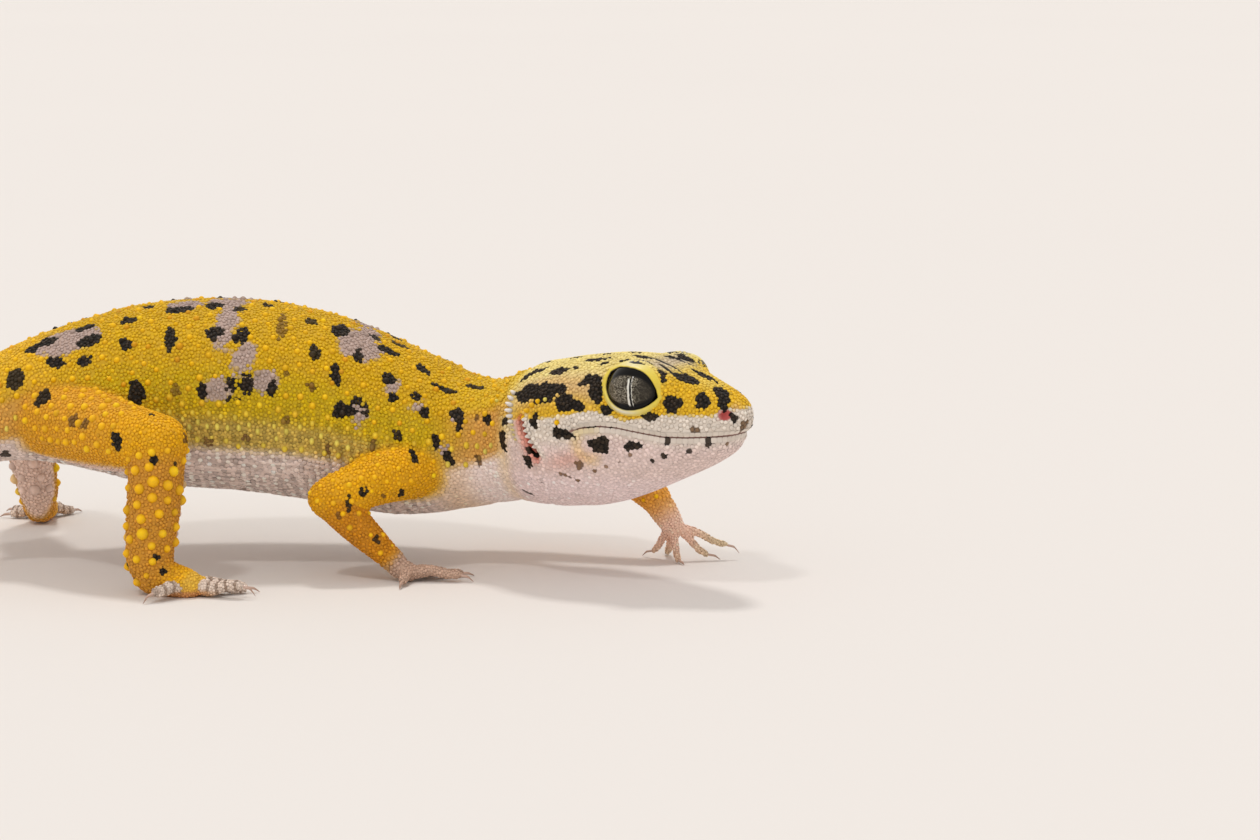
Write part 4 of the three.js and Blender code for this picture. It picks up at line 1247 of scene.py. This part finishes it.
coat = {
    "seed": 11,
    "candidates": 3.4,
    # Distance between granules, what the belly, the tail and the lips add and the toes take off.
    "spacing": {
        "body": 0.37, "belly": 0.09, "tail": 0.02, "head": 0.35, "lips": 0.07, "limbs": 0.36, "toes": 0.09,
    },
    "granule": {"fill": 0.59, "height": 0.34, "sink": 0.3},
    # Distance between raised scales: what the lower flank takes off, the tail and the shank add.
    "raised": {
        "back": 1.5, "flank": 0.5, "tail": 0.15, "temple": 1.4, "fore": 1.4, "hind": 1.25, "shank": 0.3,
    },
    "patch": 0.003,
    # Rows of plates: height over the line of the mouth, spacing, how far back they run, a plate's
    # half width and height, and the sweep from a hub on the spine that finds the row.
    "labials": {
        "rows": {"upper": 0.35, "lower": -0.38}, "step": 0.64, "end": 17.9,
        "plate": (0.3264, 0.31, 0.022), "hub": 9.0, "sweep": 150, "samples": 700,
    },
    # The pieces that the granules of the body are joined in: from and to, from the snout.
    "bands": {
        "head": (0, 17), "nape": (17, 34), "shoulder": (34, 66), "back": (66, 100), "tail": (100, 166),
    },
    # Single large scales round the ear: distance from the snout, height, half width, half height, length,
    # and colour. The first six stand on the flap in front of the ear and point back over it.
    "bosses": [
        (24.9, 19.4, 0.34, 0.3, 0.5, "white"), (24.6, 18.8, 0.36, 0.32, 0.6, "white"),
        (24.35, 18.2, 0.36, 0.32, 0.7, "white"), (24.05, 17.6, 0.36, 0.32, 0.7, "white"),
        (23.8, 17.0, 0.36, 0.32, 0.65, "white"), (23.5, 16.4, 0.34, 0.3, 0.55, "white"),
        (28.3, 21.9, 0.6, 0.3, 0.5, "white"), (28.2, 21.3, 0.66, 0.31, 0.6, "white"),
        (28.0, 20.7, 0.7, 0.31, 0.65, "white"), (27.8, 20.1, 0.7, 0.31, 0.65, "white"),
        (27.5, 19.5, 0.66, 0.31, 0.6, "white"), (27.2, 18.9, 0.6, 0.3, 0.5, "white"),
        (31.4, 22.2, 0.42, 0.24, 0.3, "bead"), (31.3, 21.7, 0.46, 0.25, 0.32, "bead"),
        (31.2, 21.2, 0.46, 0.25, 0.32, "bead"), (31.1, 20.7, 0.42, 0.24, 0.3, "beadFlank"),
        (26.9, 18.6, 0.55, 0.16, 0.2, "beadTail"), (26.7, 18.05, 0.6, 0.16, 0.22, "beadTail"),
        (26.6, 17.5, 0.6, 0.16, 0.22, "beadTail"), (26.4, 16.95, 0.5, 0.16, 0.2, "beadTail"),
        (25.3, 19.6, 0.36, 0.34, 0.5, "bead"), (24.7, 20.4, 0.38, 0.36, 0.55, "bead"),
        (24.0, 21.1, 0.38, 0.36, 0.5, "bead"), (23.2, 21.6, 0.34, 0.34, 0.4, "bead"),
        (22.2, 21.9, 0.3, 0.3, 0.3, "beadFlank"), (20.2, 19.5, 0.36, 0.36, 0.4, "bead"),
    ],
}


def spacings(place, points):
    # Distance between granules; nothing where it is zero.
    at, z, side = place["at"], place["z"], place["side"]
    down = np.abs(place["round"])
    lip = z - mouthHeight(at)
    head = ramp(at, 30, 27)
    gap = coat["spacing"]
    body = gap["body"] + gap["belly"] * ramp(down, 108, 116) * ramp(at, 38, 46) * ramp(at, 99, 94)
    body += gap["tail"] * ramp(at, 100, 110)
    face = gap["head"] + gap["lips"] * ramp(lip, 1.9, 1.1) * ramp(z, 16.5, 18)
    step = body + (face - body) * head
    legs = gap["limbs"] - gap["toes"] * ramp(place["along"], footStart, 1.02)
    step = step + (legs - step) * place["onLimb"]
    bare = (np.abs(lip) < 0.72) & (at < 17.6) & (at > -2)
    bare |= (np.abs(lip) < 0.14) & (at < 19.4)
    hole = headCarving["nostril"]["radius"] + 0.2
    bare |= (nostrilReach(at, z) < hole) & (np.abs(side) > 1.2)
    bare |= skinCreaseShade > -0.1
    length, across = earPlace(at, z)
    bare |= (np.abs(length) < 2.5) & (np.abs(across) < 0.5) & (np.abs(side) > 5) & (at < 29)
    bare &= place["onLimb"] < 0.5
    for hand in hands.values():
        depth, _, _, reach, turn = eyePlace(points, hand)
        bare |= (depth > eyeOutline("rim", turn) - 0.9) & (reach < eyeOutline("ring", turn))
    return np.where(bare, 0, step)


def pickRoots(step, draw, candidates):
    corners = skinPoints[skinFaces]
    first, second = corners[:, 1] - corners[:, 0], corners[:, 2] - corners[:, 0]
    area = np.linalg.norm(np.cross(first, second), axis=1) / 2
    steps = step[skinFaces]
    size = np.where(steps.min(1) > 0, steps.mean(1), 0)
    share = np.where(size > 0, area / np.maximum(size, 0.01) ** 2, 0)
    count = int(share.sum() * candidates)
    face = draw.choice(len(skinFaces), count, p=share / share.sum())
    a, b = draw.random((2, count))
    flip = a + b > 1
    a[flip], b[flip] = 1 - a[flip], 1 - b[flip]
    weights = np.stack([1 - a - b, a, b], 1)
    return (corners[face] * weights[:, :, None]).sum(1), size[face]


def treeOf(points):
    tree = kdtree.KDTree(len(points))
    for i, p in enumerate(points):
        tree.insert(p, i)
    tree.balance()
    return tree


def spread(points, steps, claimed):
    # Keeps points that are at least a step apart and clear of what is already there.
    tree = treeOf(points)
    gone = bytearray(len(points))
    for p, radius in claimed:
        for _, j, _ in tree.find_range(p, radius):
            gone[j] = 1
    kept = []
    for i, p in enumerate(points):
        if not gone[i]:
            kept.append(i)
            for _, j, _ in tree.find_range(p, steps[i]):
                gone[j] = 1
    return points[kept], steps[kept]


def evenOut(points, steps, rounds):
    for _ in range(rounds):
        tree = treeOf(points)
        near = np.array([[j for _, j, _ in tree.find_n(p, 7)] for p in points])[:, 1:]
        away = points[:, None] - points[near]
        far = np.linalg.norm(away, axis=2) + 1e-6
        push = np.maximum(steps[:, None] * 1.22 - far, 0) / far
        points = points + (away * push[:, :, None]).sum(1) * 0.22
        points = np.array([skinTree.find_nearest(Vector(p))[0] for p in points])
    return points


class Roots:
    # Where scales stand on the skin, with what the skin says there.
    def __init__(self, points):
        found = [skinTree.find_nearest(Vector(p)) for p in points]
        self.points = np.array([f[0] for f in found]).reshape(-1, 3)
        corner = skinFaces[[f[2] for f in found]]
        a, b, c = (skinPoints[corner[:, k]] for k in range(3))
        ab, ac, ap = b - a, c - a, self.points - a
        d00, d01, d11 = (ab * ab).sum(1), (ab * ac).sum(1), (ac * ac).sum(1)
        d20, d21 = (ap * ab).sum(1), (ap * ac).sum(1)
        low = np.maximum(d00 * d11 - d01 * d01, 1e-12)
        v, w = (d11 * d20 - d01 * d21) / low, (d00 * d21 - d01 * d20) / low
        self.corner, self.share = corner, np.stack([1 - v - w, v, w], 1)
        normals = self.read(skinNormals)
        self.normals = normals / np.linalg.norm(normals, axis=1)[:, None]
        self.place = places(self.points)

    def read(self, values):
        share = self.share if values.ndim == 1 else self.share[:, :, None]
        return (values[self.corner] * share).sum(1)

    def take(self, choice):
        part = object.__new__(Roots)
        for name in ("points", "corner", "share", "normals"):
            setattr(part, name, getattr(self, name)[choice])
        part.place = {key: values[choice] for key, values in self.place.items()}
        return part

    def axes(self, up, turn=None):
        # Frames with the third axis out of the skin and the second along a chosen way.
        out = self.normals
        second = up - out * (up * out).sum(1)[:, None]
        second /= np.maximum(np.linalg.norm(second, axis=1), 1e-6)[:, None]
        first = np.cross(second, out)
        if turn is not None:
            c, s = np.cos(turn)[:, None], np.sin(turn)[:, None]
            first, second = first * c + second * s, second * c - first * s
        return np.stack([first, second, out], 1)

    def tint(self, draw, uneven=0.035, base=None):
        spot, shade, violet, _ = marksAt(self.points)
        base = tints(self.place) if base is None else base
        tint = shown(base, spot, shade, violet, draw.normal(0, 1, len(spot)))
        return np.clip(tint * (1 + draw.normal(0, uneven, len(spot)))[:, None], 0.01, 1)

    def unwrap(self, low, high):
        place = self.place
        u = (place["at"] - low) / (high - low)
        v = (place["round"] + 180) / 360
        return np.stack([np.clip(u, 0, 1), v], 1) * 0.99

    def unwrapLimbs(self):
        # One strip for each limb and for each of its digits.
        place = self.place
        uv = np.zeros((len(self.points), 2))
        for k, limb in enumerate(limbs.values()):
            mine = np.flatnonzero(place["limb"] == k)
            axis = np.array(limb["axis"])
            points = self.points[mine]
            best = np.full(len(mine), 1e9)
            line = np.zeros((len(mine), 3))
            for a, b in zip(axis[:-1], axis[1:]):
                t = np.clip(((points - a) @ (b - a)) / ((b - a) @ (b - a)), 0, 1)
                on = a + t[:, None] * (b - a)
                far = np.linalg.norm(points - on, axis=1)
                line[far < best] = on[far < best]
                best = np.minimum(far, best)
            reach = points - line
            angle = np.arctan2(reach[:, 1] * 0.7 - reach[:, 2] * 0.3, reach[:, 0])
            along = np.clip(place["along"][mine], 0, 1.25) * 0.72
            on = place["digit"][mine] >= 0
            palm = axis[-1]
            fan = np.arctan2(points[:, 1] - palm[1], points[:, 0] - palm[0])
            along = np.where(on, 0.72 + 0.26 * (fan + math.pi) / (2 * math.pi), along)
            out = np.clip(place["digit"][mine] / 7, 0, 1)
            angle = np.where(on, -math.pi + out * 2 * math.pi, angle)
            uv[mine, 0] = (k % 2) * 0.5 + along * 0.49
            uv[mine, 1] = (k // 2) * 0.5 + (angle + math.pi) / (2 * math.pi) * 0.49
        return uv


def shapeArrays(bm):
    bmesh.ops.triangulate(bm, faces=bm.faces)
    bmesh.ops.recalc_face_normals(bm, faces=bm.faces)
    bm.verts.index_update()
    points = np.array([v.co for v in bm.verts])
    faces = np.array([[v.index for v in f.verts] for f in bm.faces])
    bm.free()
    return points, faces


def granuleShape():
    # A low six-sided dome with its foot in the skin.
    bm = bmesh.new()
    bmesh.ops.create_cone(bm, cap_ends=True, segments=6, radius1=1, radius2=0.68, depth=1)
    bmesh.ops.translate(bm, vec=(0, 0, 0.5), verts=bm.verts)
    top = max(bm.faces, key=lambda f: f.calc_center_median().z)
    bmesh.ops.poke(bm, faces=[top], offset=0.36)
    return shapeArrays(bm)


def tubercleShape():
    # A blunt cone.
    bm = bmesh.new()
    bmesh.ops.create_cone(bm, cap_ends=True, segments=8, radius1=1, radius2=0.86, depth=0.4)
    bmesh.ops.translate(bm, vec=(0, 0, 0.2), verts=bm.verts)
    for depth, shrink in ((0.3, 0.74), (0.2, 0.5)):
        top = max(bm.faces, key=lambda f: f.calc_center_median().z)
        bmesh.ops.inset_region(bm, faces=[top], thickness=0.0001)
        bmesh.ops.translate(bm, vec=(0, 0, depth), verts=top.verts)
        bmesh.ops.scale(bm, vec=(shrink, shrink, 1), verts=top.verts)
    bmesh.ops.poke(bm, faces=[top], offset=0.1)
    return shapeArrays(bm)


def plateShape():
    # A pillow with a squarish outline, for the rows along the lips.
    bm = bmesh.new()
    bmesh.ops.create_cube(bm, size=2)
    bmesh.ops.bevel(bm, geom=bm.edges[:], offset=0.42, segments=2, profile=0.5, affect="EDGES", material=-1)
    bmesh.ops.scale(bm, vec=(1, 1, 0.5), verts=bm.verts)
    bmesh.ops.translate(bm, vec=(0, 0, 0.45), verts=bm.verts)
    return shapeArrays(bm)


def joinScales(name, shape, roots, axes, sizes, tint, uv):
    # sizes are half width, half length and height; the foot sinks a little into the skin.
    base, faces = shape
    count, corners = len(roots.points), len(base)
    sink = coat["granule"]["sink"]
    local = base.copy()
    local[:, 2] = local[:, 2] * (1 + sink) - sink
    points = local[None] * sizes[:, None, :]
    points = np.einsum("nvi,nij->nvj", points, axes) + roots.points[:, None]
    mesh = bpy.data.meshes.new(name)
    mesh.vertices.add(count * corners)
    mesh.vertices.foreach_set("co", points.astype(np.float32).ravel())
    loops = (faces[None] + (np.arange(count) * corners)[:, None, None]).reshape(-1, 3)
    mesh.loops.add(loops.size)
    mesh.loops.foreach_set("vertex_index", loops.astype(np.int32).ravel())
    mesh.polygons.add(len(loops))
    mesh.polygons.foreach_set("loop_start", np.arange(0, loops.size, 3, dtype=np.int32))
    mesh.update(calc_edges=True)
    mesh.shade_smooth()
    # Painted shade and light: each scale is coloured darker at its foot in the skin and lighter on its top,
    # by height on the scale.
    paintedScaleShading = 0.84 + 0.2 * np.clip(base[:, 2], 0, 1)
    setNumbers(mesh, "tint", linear(np.clip(tint[:, None] * paintedScaleShading[None, :, None], 0, 1).reshape(-1, 3)))
    patch = base[:, :2] * coat["patch"] / 2 * 0.9
    uvs = uv[:, None] * (1 - coat["patch"] * 2) + coat["patch"] + patch[None]
    layer = mesh.uv_layers.new(name="OFBake")
    layer.uv.foreach_set("vector", uvs.reshape(-1, 2)[loops.ravel()].astype(np.float32).ravel())
    obj = addObject(name, mesh, materials["scales"])
    settle(obj, "skin")
    print(name, count, "scales", len(loops), "triangles")


def chooseTubercles(draw):
    # Wide apart on the back and limbs, close together low on the flanks.
    place, gap = skinPlace, coat["raised"]
    at, down, along = place["at"], np.abs(place["round"]), place["along"]
    free = place["onLimb"] < 0.5
    step = gap["back"] - gap["flank"] * bump(down, 95, 10) + gap["tail"] * ramp(at, 100, 120)
    on = (down < 107) & (at > headEnd) & (at < 160) & free
    temple = (at > 15.5) & (at <= headEnd) & (down < 92) & (down > 30) & (place["z"] > 19.8) & free
    step = np.where(temple, gap["temple"], step)
    hind = place["limb"] >= 2
    under = skinNormals[:, 2] < -0.35
    knee = hind & (np.abs(along - 0.46) < 0.05) & (skinNormals[:, 2] > -0.2)
    leg = ~free & (along < 0.9) & ~under & ~knee
    hindStep = gap["hind"] + gap["shank"] * ramp(along, 0.5, 0.6)
    step = np.where(leg, np.where(hind, hindStep, gap["fore"]), step)
    step = np.where(on | temple | leg, step, 0)
    points, steps = pickRoots(step, draw, 5)
    points, steps = spread(points, steps, [(p, size) for p, size, _, _ in bosses()])
    return Roots(evenOut(points, steps, 4))


def tubercleSizes(roots, draw):
    # Half width, half height along the side and length of each raised scale.
    place = roots.place
    at, down, along = place["at"], np.abs(place["round"]), place["along"]
    leg = place["onLimb"] > 0.5
    hind = leg & (place["limb"] >= 2)
    low = bump(down, 96, 11) * ~leg
    shank = 0.17 * ramp(along, 0.5, 0.6) * ramp(along, 0.95, 0.85)
    wide = 0.4 - 0.08 * low
    size = np.stack([wide, wide * (1 + 0.5 * low), 0.34 + 0.06 * low], 1)
    size = np.where(leg[:, None], (0.38, 0.38, 0.28), size)
    size = np.where(hind[:, None], np.stack([0.5 + shank, 0.5 + shank, 0.4 + shank], 1), size)
    size = np.where(((at < headEnd) & ~leg)[:, None], (0.28, 0.32, 0.24), size)
    shrink = np.where(leg, ramp(along, 0.95, 0.75) * 0.35 + 0.65, 1 - 0.45 * ramp(at, 120, 158))
    return size * (shrink * np.exp(draw.normal(0, 0.1, len(at))))[:, None]


def tubercleTint(roots, draw):
    place = roots.place
    at, down = place["at"], np.abs(place["round"])
    leg = place["onLimb"] > 0.5
    bright = np.tile(colour("bead"), (len(at), 1))
    bright = blend(bright, "beadAmber", (draw.random(len(at)) < 0.14) * ramp(down, 95, 75))
    bright = blend(bright, "beadFlank", bump(down, 98, 13))
    bright = blend(bright, "beadTail", ramp(at, 98, 112))
    bright = np.where(leg[:, None], colour("beadLeg"), bright)
    bright = blend(bright, "inner", leg * place["inner"])
    bright = np.where(((at < headEnd) & ~leg)[:, None], tints(place) * 1.06, bright)
    return roots.tint(draw, 0.04, bright)


def lipRow(offset):
    # Evenly spaced roots along the mouth, at a height above the line between the lips.
    row = coat["labials"]
    ahead, left = spineAxes(int(row["hub"] / spine["step"]))
    line = []
    for degrees in np.linspace(-row["sweep"], row["sweep"], row["samples"]):
        turn = math.radians(degrees)
        at = 2.0
        for _ in range(3):
            start = bodyPoint(row["hub"], 0, mouthHeight(at) + offset)
            hit = skinTree.ray_cast(start, ahead * math.cos(turn) + left * math.sin(turn))[0]
            if hit is None:
                break
            at = bodyPlace(np.array([hit]))[0][0]
        if hit is not None and at < row["end"]:
            line.append(np.array(hit))
    line = np.array(line)
    run = np.concatenate([[0], np.cumsum(np.linalg.norm(np.diff(line, axis=0), axis=1))])
    stops = np.linspace(0, run[-1], int(run[-1] / row["step"]))
    points = np.stack([np.interp(stops, run, line[:, k]) for k in range(3)], 1)
    return points, np.gradient(points, axis=0)


def bosses():
    # The single scales on both sides: place, radius kept clear, sizes and colour.
    found = []
    for hand in hands.values():
        for at, z, wide, tall, high, name in coat["bosses"]:
            outward = spineAxes(int(at / spine["step"]))[1] * hand
            hit = skinTree.ray_cast(bodyPoint(at, 20 * hand, z), -outward)[0]
            found.append((np.array(hit), max(wide, tall) + 0.1, (wide, tall, high), name))
    return found


def bossScales(shape):
    found = bosses()
    part = Roots([f[0] for f in found])
    # They lean back, the ones on the ear's flap most.
    back = np.array([*-spineAhead[int(25 / spine["step"])], 0.1])
    flap = np.arange(len(found)) % (len(found) // 2) < 6
    part.normals = part.normals + back * np.where(flap, 0.75, 0.15)[:, None]
    part.normals /= np.linalg.norm(part.normals, axis=1)[:, None]
    axes = part.axes(np.tile((0.0, 0.0, 1.0), (len(found), 1)))
    sizes = np.array([f[2] for f in found])
    tint = np.array([colour(f[3]) for f in found])
    joinScales("ear_bosses", shape, part, axes, sizes, tint, part.unwrap(18, 30))


def joinSections(shape, roots, axes, sizes, tint, sections):
    # One piece for each section: its name, which roots are in it, and its ends along the body.
    for name, choice, ends in sections:
        choice = np.flatnonzero(choice)
        part = roots.take(choice)
        uv = part.unwrap(*ends) if ends else part.unwrapLimbs()
        joinScales(name, shape, part, axes[choice], sizes[choice], tint[choice], uv)


def granuleSizes(roots, steps, draw):
    # Half width, half length and height, flatter on the belly and under the jaw.
    tree = treeOf(roots.points)
    gap = np.array([np.mean([d for _, _, d in tree.find_n(p, 6)[1:]]) for p in roots.points])
    shape = coat["granule"]
    half = np.clip(gap, steps * 0.8, steps * 1.3) * shape["fill"]
    place, free = roots.place, roots.place["onLimb"] <= 0.5
    belly = ramp(np.abs(place["round"]), 100, 112) * free
    belly = np.maximum(belly, ramp(place["z"], 18, 16.4) * (place["at"] < 30) * free)
    half = half * (1 + 0.08 * belly)
    wide = half * np.exp(draw.normal(0, 0.06, len(half)))
    return np.stack([wide, half, half * shape["height"] * (1 - 0.62 * belly)], 1)


def addGranules(points, steps, draw):
    roots = Roots(points)
    sizes = granuleSizes(roots, steps, draw)
    axes = roots.axes(draw.normal(0, 1, (len(points), 3)))
    tint = roots.tint(draw)
    at, limb, hind = roots.place["at"], roots.place["onLimb"] > 0.5, roots.place["limb"] >= 2
    band = np.digitize(at, [low for low, _ in coat["bands"].values()][1:])
    sections = [
        (f"scales_{name}", ~limb & (band == i), ends)
        for i, (name, ends) in enumerate(coat["bands"].items())
    ]
    sections += [("scales_fore_limbs", limb & ~hind, None), ("scales_hind_limbs", limb & hind, None)]
    print("scales placed", len(at))
    joinSections(granuleShape(), roots, axes, sizes, tint, sections)


def addTubercles(shape, roots, sizes, draw):
    tint = tubercleTint(roots, draw)
    axes = roots.axes(np.tile((0.0, 0.0, 1.0), (len(sizes), 1)))
    limb = roots.place["onLimb"] > 0.5
    sections = [("tubercles_body", ~limb, (0, spine["length"])), ("tubercles_limbs", limb, None)]
    joinSections(shape, roots, axes, sizes, tint, sections)


def addLipPlates(draw):
    shape = plateShape()
    for name, offset in coat["labials"]["rows"].items():
        points, way = lipRow(offset)
        part = Roots(points)
        way = way / np.linalg.norm(way, axis=1)[:, None]
        axes = part.axes(np.cross(part.normals, way))
        sizes = np.tile(coat["labials"]["plate"], (len(points), 1))
        # Painted shade: the flat lip plates are darkened a little to match the shaded granules round them.
        tint = part.tint(draw, 0.02) * 0.96
        joinScales(f"lip_plates_{name}", shape, part, axes, sizes, tint, part.unwrap(0, 20))


def dressSkin():
    draw = np.random.default_rng(coat["seed"])
    raised = chooseTubercles(draw)
    sizes = tubercleSizes(raised, draw)
    claimed = [(p, size[:2].mean() + 0.1) for p, size in zip(raised.points, sizes)]
    claimed += [(p, clear) for p, clear, _, _ in bosses()]
    step = spacings(skinPlace, skinPoints)
    points, steps = pickRoots(step, draw, coat["candidates"])
    points, steps = spread(points, steps, claimed)
    print("granules", len(points), "tubercles", len(raised.points))
    addGranules(evenOut(points, steps, 2), steps, draw)
    tubercle = tubercleShape()
    addTubercles(tubercle, raised, sizes, draw)
    addLipPlates(draw)
    bossScales(tubercle)


dressSkin()

# Eyes, lids, ears and claws

lidShape = {
    "round": 360, "section": 20, "thickness": 0.27, "innerLift": 0.1,
    # Beads along the outer rim, and how far they stand out and up.
    "beads": 72, "beadOut": 0.1, "beadUp": 0.09,
    # Dark spots on the left upper lid: degrees and half width.
    "spots": [(98, 0.75), (36, 0.6)],
}
drumDepth = 0.3


def makeEye(name, hand):
    bm = bmesh.new()
    bmesh.ops.create_uvsphere(bm, u_segments=96, v_segments=64, radius=eye["radius"])
    mesh = meshFrom(bm, f"eye_{name}", smooth=True)
    centre, out, forward, up = eyeFrame(hand)
    # The ball's pole looks out; its own axes give the gaze.
    local = meshPoints(mesh)
    setNumbers(mesh, "gaze", local)
    turn = np.array([forward, up, out])
    setPoints(mesh, local @ turn + np.array(centre))
    if np.linalg.det(turn) < 0:
        mesh.flip_normals()
    obj = addObject(f"eyeball_{name}", mesh, materials["eye"])
    settle(obj, "eye", f"eye_{name}")


def lidPoints(grid, hand):
    # A tube round the eye: the first of the grid's ways runs round the eye, the second round the tube.
    centre, out, forward, up = (np.array(v) for v in eyeFrame(hand))
    turn = grid[:, 0] * 360 - 180
    section = grid[:, 1] * 2 * math.pi
    inner, outer = eyeOutline("opening", turn), eyeOutline("ring", turn)
    way = np.cos(np.radians(turn))[:, None] * forward + np.sin(np.radians(turn))[:, None] * up
    edgeDepth = ballHeight(inner) + lidShape["innerLift"]
    edgeDepth -= 0.6 * np.maximum(inner - eye["flatFrom"], 0)
    start = centre + way * inner[:, None] + out * edgeDepth[:, None]
    end = centre + way * (outer + 0.1)[:, None] + out * (eyeOutline("rim", turn) - 0.12)[:, None]
    middle, half = (start + end) / 2, (end - start) / 2
    facing = out - half * ((half @ out) / (half * half).sum(1))[:, None]
    facing /= np.linalg.norm(facing, axis=1)[:, None]
    beads = 0.5 + 0.5 * np.cos(np.radians(turn) * lidShape["beads"])
    across, high = np.cos(section), np.sin(section)
    spreading = np.sign(across) * np.abs(across) ** 0.8
    rough = ramp(across, 0.2, 0.85) * ramp(high, -0.2, 0.3)
    lift = lidShape["thickness"] * (np.sign(high) * np.abs(high) ** 0.8)
    lift += lidShape["beadUp"] * rough * beads
    spreading = spreading * (1 + lidShape["beadOut"] * rough * beads)
    return middle + half * spreading[:, None] + facing * lift[:, None]


def lidTint(points, hand, spots):
    _, _, _, reach, turn = eyePlace(points, hand)
    inner, outer = eyeOutline("opening", turn), eyeOutline("ring", turn)
    share = (reach - inner) / (outer - inner)
    top, bottom = bump(turn, 92, 36), bump(turn, -100, 46)
    dots = [
        ("spot", ramp(np.abs(turn - angle) * 0.058, half, half - 0.15) * ramp(share, 0.45, 0.6))
        for angle, half in spots
    ]
    return layered(
        np.tile(colour("lidYellow"), (len(turn), 1)),
        ("lidCream", top * ramp(share, 0.1, 0.3)),
        ("lidPale", bottom * ramp(share, 0.12, 0.28)),
        ("lidYellow", bottom * ramp(share, 0.86, 0.98) * 0.6),
        *dots,
        ("spot", ramp(share, 0.14, 0.04)),
    )


def makeLid(name, hand):
    bm = bmesh.new()
    bmesh.ops.create_grid(
        bm, x_segments=lidShape["round"], y_segments=lidShape["section"], size=0.5
    )
    grid = np.array([v.co for v in bm.verts]) + 0.5
    for v, p in zip(bm.verts, lidPoints(grid, hand)):
        v.co = p
    bmesh.ops.remove_doubles(bm, verts=bm.verts, dist=0.003)
    bmesh.ops.recalc_face_normals(bm, faces=bm.faces)
    mesh = meshFrom(bm, f"lid_{name}", smooth=True)
    spots = lidShape["spots"] if name == "left" else ()
    setNumbers(mesh, "tint", linear(lidTint(meshPoints(mesh), hand, spots)))
    obj = addObject(f"lid_{name}", mesh, materials["lid"])
    settle(obj, "eyelid", f"eyelid_{name}")


def nodeCopy(node, levels):
    obj = addObject("copy", meshFrom(takeFlesh(node), node, smooth=True))
    smooth = obj.modifiers.new("smooth", "SUBSURF")
    smooth.levels = smooth.render_levels = levels
    return applied(obj)


def makeEarDrum(name, hand):
    mesh = nodeCopy(f"ear_{name}", 2)
    points = meshPoints(mesh)
    i = int(headCarving["ear"]["at"] / spine["step"])
    points -= np.array([*spineLeft[i], 0]) * hand * drumDepth
    setPoints(mesh, points)
    where = places(points)
    _, across = earPlace(where["at"], where["z"])
    tint = colour("drum") * (1 - 0.3 * bump(across, -0.3, 0.3))[:, None]
    setNumbers(mesh, "tint", linear(tint))
    settle(addObject(f"eardrum_{name}", mesh, materials["ear"]), "ear", f"ear_{name}")


def makeClaws():
    for name, limb in limbs.items():
        palm = np.array(limb["axis"][-1])
        for i in range(1, 6):
            node = f"claw_{name}_{i}"
            mesh = nodeCopy(node, 2)
            points = meshPoints(mesh)
            reach = np.linalg.norm(points - palm, axis=1)
            share = (reach - reach.min()) / np.ptp(reach)
            # The root of the claw runs back into the toe.
            middle = points.mean(0)
            back = (palm - middle) * (1, 1, 0)
            points += back / np.linalg.norm(back) * 0.55 * ramp(share, 0.35, 0.1)[:, None]
            setPoints(mesh, points)
            tint = blend(np.tile(colour("claw"), (len(share), 1)), "clawTip", share)
            setNumbers(mesh, "tint", linear(tint))
            settle(addObject(f"horn_{name}_{i}", mesh, materials["claw"]), "claw", node)


for name, hand in hands.items():
    makeEye(name, hand)
    makeLid(name, hand)
    makeEarDrum(name, hand)
makeClaws()
print("eyes, lids, ears and claws made")

# Floor and light

stage = {
    "floor": (231, 226, 221),
    "room": (238, 232, 227),
    "fill": 0.66,
    "fillTint": (1.0, 0.97, 0.955, 1),
    # Azimuth from the camera's side, elevation, strength, spread and tint of each lamp.
    "lamps": {
        "overhead": (180, 75, 0.95, 0.16, (1.0, 0.985, 0.965)),
        "front": (-12, 24, 0.3, 1.6, (1.0, 0.975, 0.95)),
        "window": (-29, 57, 0.45, 0.1, (1.0, 1.0, 1.0)),
    },
}


def addFloor():
    bm = bmesh.new()
    bmesh.ops.create_grid(bm, x_segments=2, y_segments=2, size=4)
    mesh = meshFrom(bm, "floor")
    material = bpy.data.materials.new("floor_paper")
    n = Nodes(material)
    # Painted shade: the floor is a little darker in soft, wide random clouds.
    floorShadeClouds = n.step(n.noise(3, 2), 0.3, 0.7)
    tint = n.mix(n.times(floorShadeClouds, 0.05), shaderColour(stage["floor"]), shaderTints["paperShade"])
    n.finish(tint, 0.9, Specular_IOR_Level=0.1)
    addObject("floor", mesh, material)


def addRoom():
    world = bpy.data.worlds.new("pale_room")
    scene.world = world
    world.use_nodes = True
    tree = world.node_tree
    tree.nodes.clear()
    n = object.__new__(Nodes)
    n.tree = tree
    seen = n.add("ShaderNodeBackground", {"Color": shaderColour(stage["room"])})
    fill = {"Color": stage["fillTint"], "Strength": stage["fill"]}
    fill = n.add("ShaderNodeBackground", fill)
    paths = n.add("ShaderNodeLightPath").outputs
    sharp = n.maths("MAXIMUM", paths["Is Glossy Ray"], paths["Is Transmission Ray"])
    sharp = n.maths("MAXIMUM", paths["Is Camera Ray"], sharp)
    mix = n.add("ShaderNodeMixShader", {0: sharp, 1: fill.outputs[0], 2: seen.outputs[0]})
    n.add("ShaderNodeOutputWorld", {"Surface": mix.outputs[0]})


def addLamp(name, azimuth, elevation, strength, spreading, tint):
    turn, lift = math.radians(azimuth), math.radians(elevation)
    way = Vector((math.sin(turn) * math.cos(lift), -math.cos(turn) * math.cos(lift), math.sin(lift)))
    data = bpy.data.lights.new(name, "SUN")
    data.energy = strength
    data.angle = spreading
    data.color = tint
    obj = bpy.data.objects.new(name, data)
    obj.location = way
    obj.rotation_euler = (-way).to_track_quat("-Z", "Y").to_euler()
    scene.collection.objects.link(obj)


addFloor()
addRoom()
for name, lamp in stage["lamps"].items():
    addLamp(name, *lamp)
scene.view_settings.view_transform = "Standard"
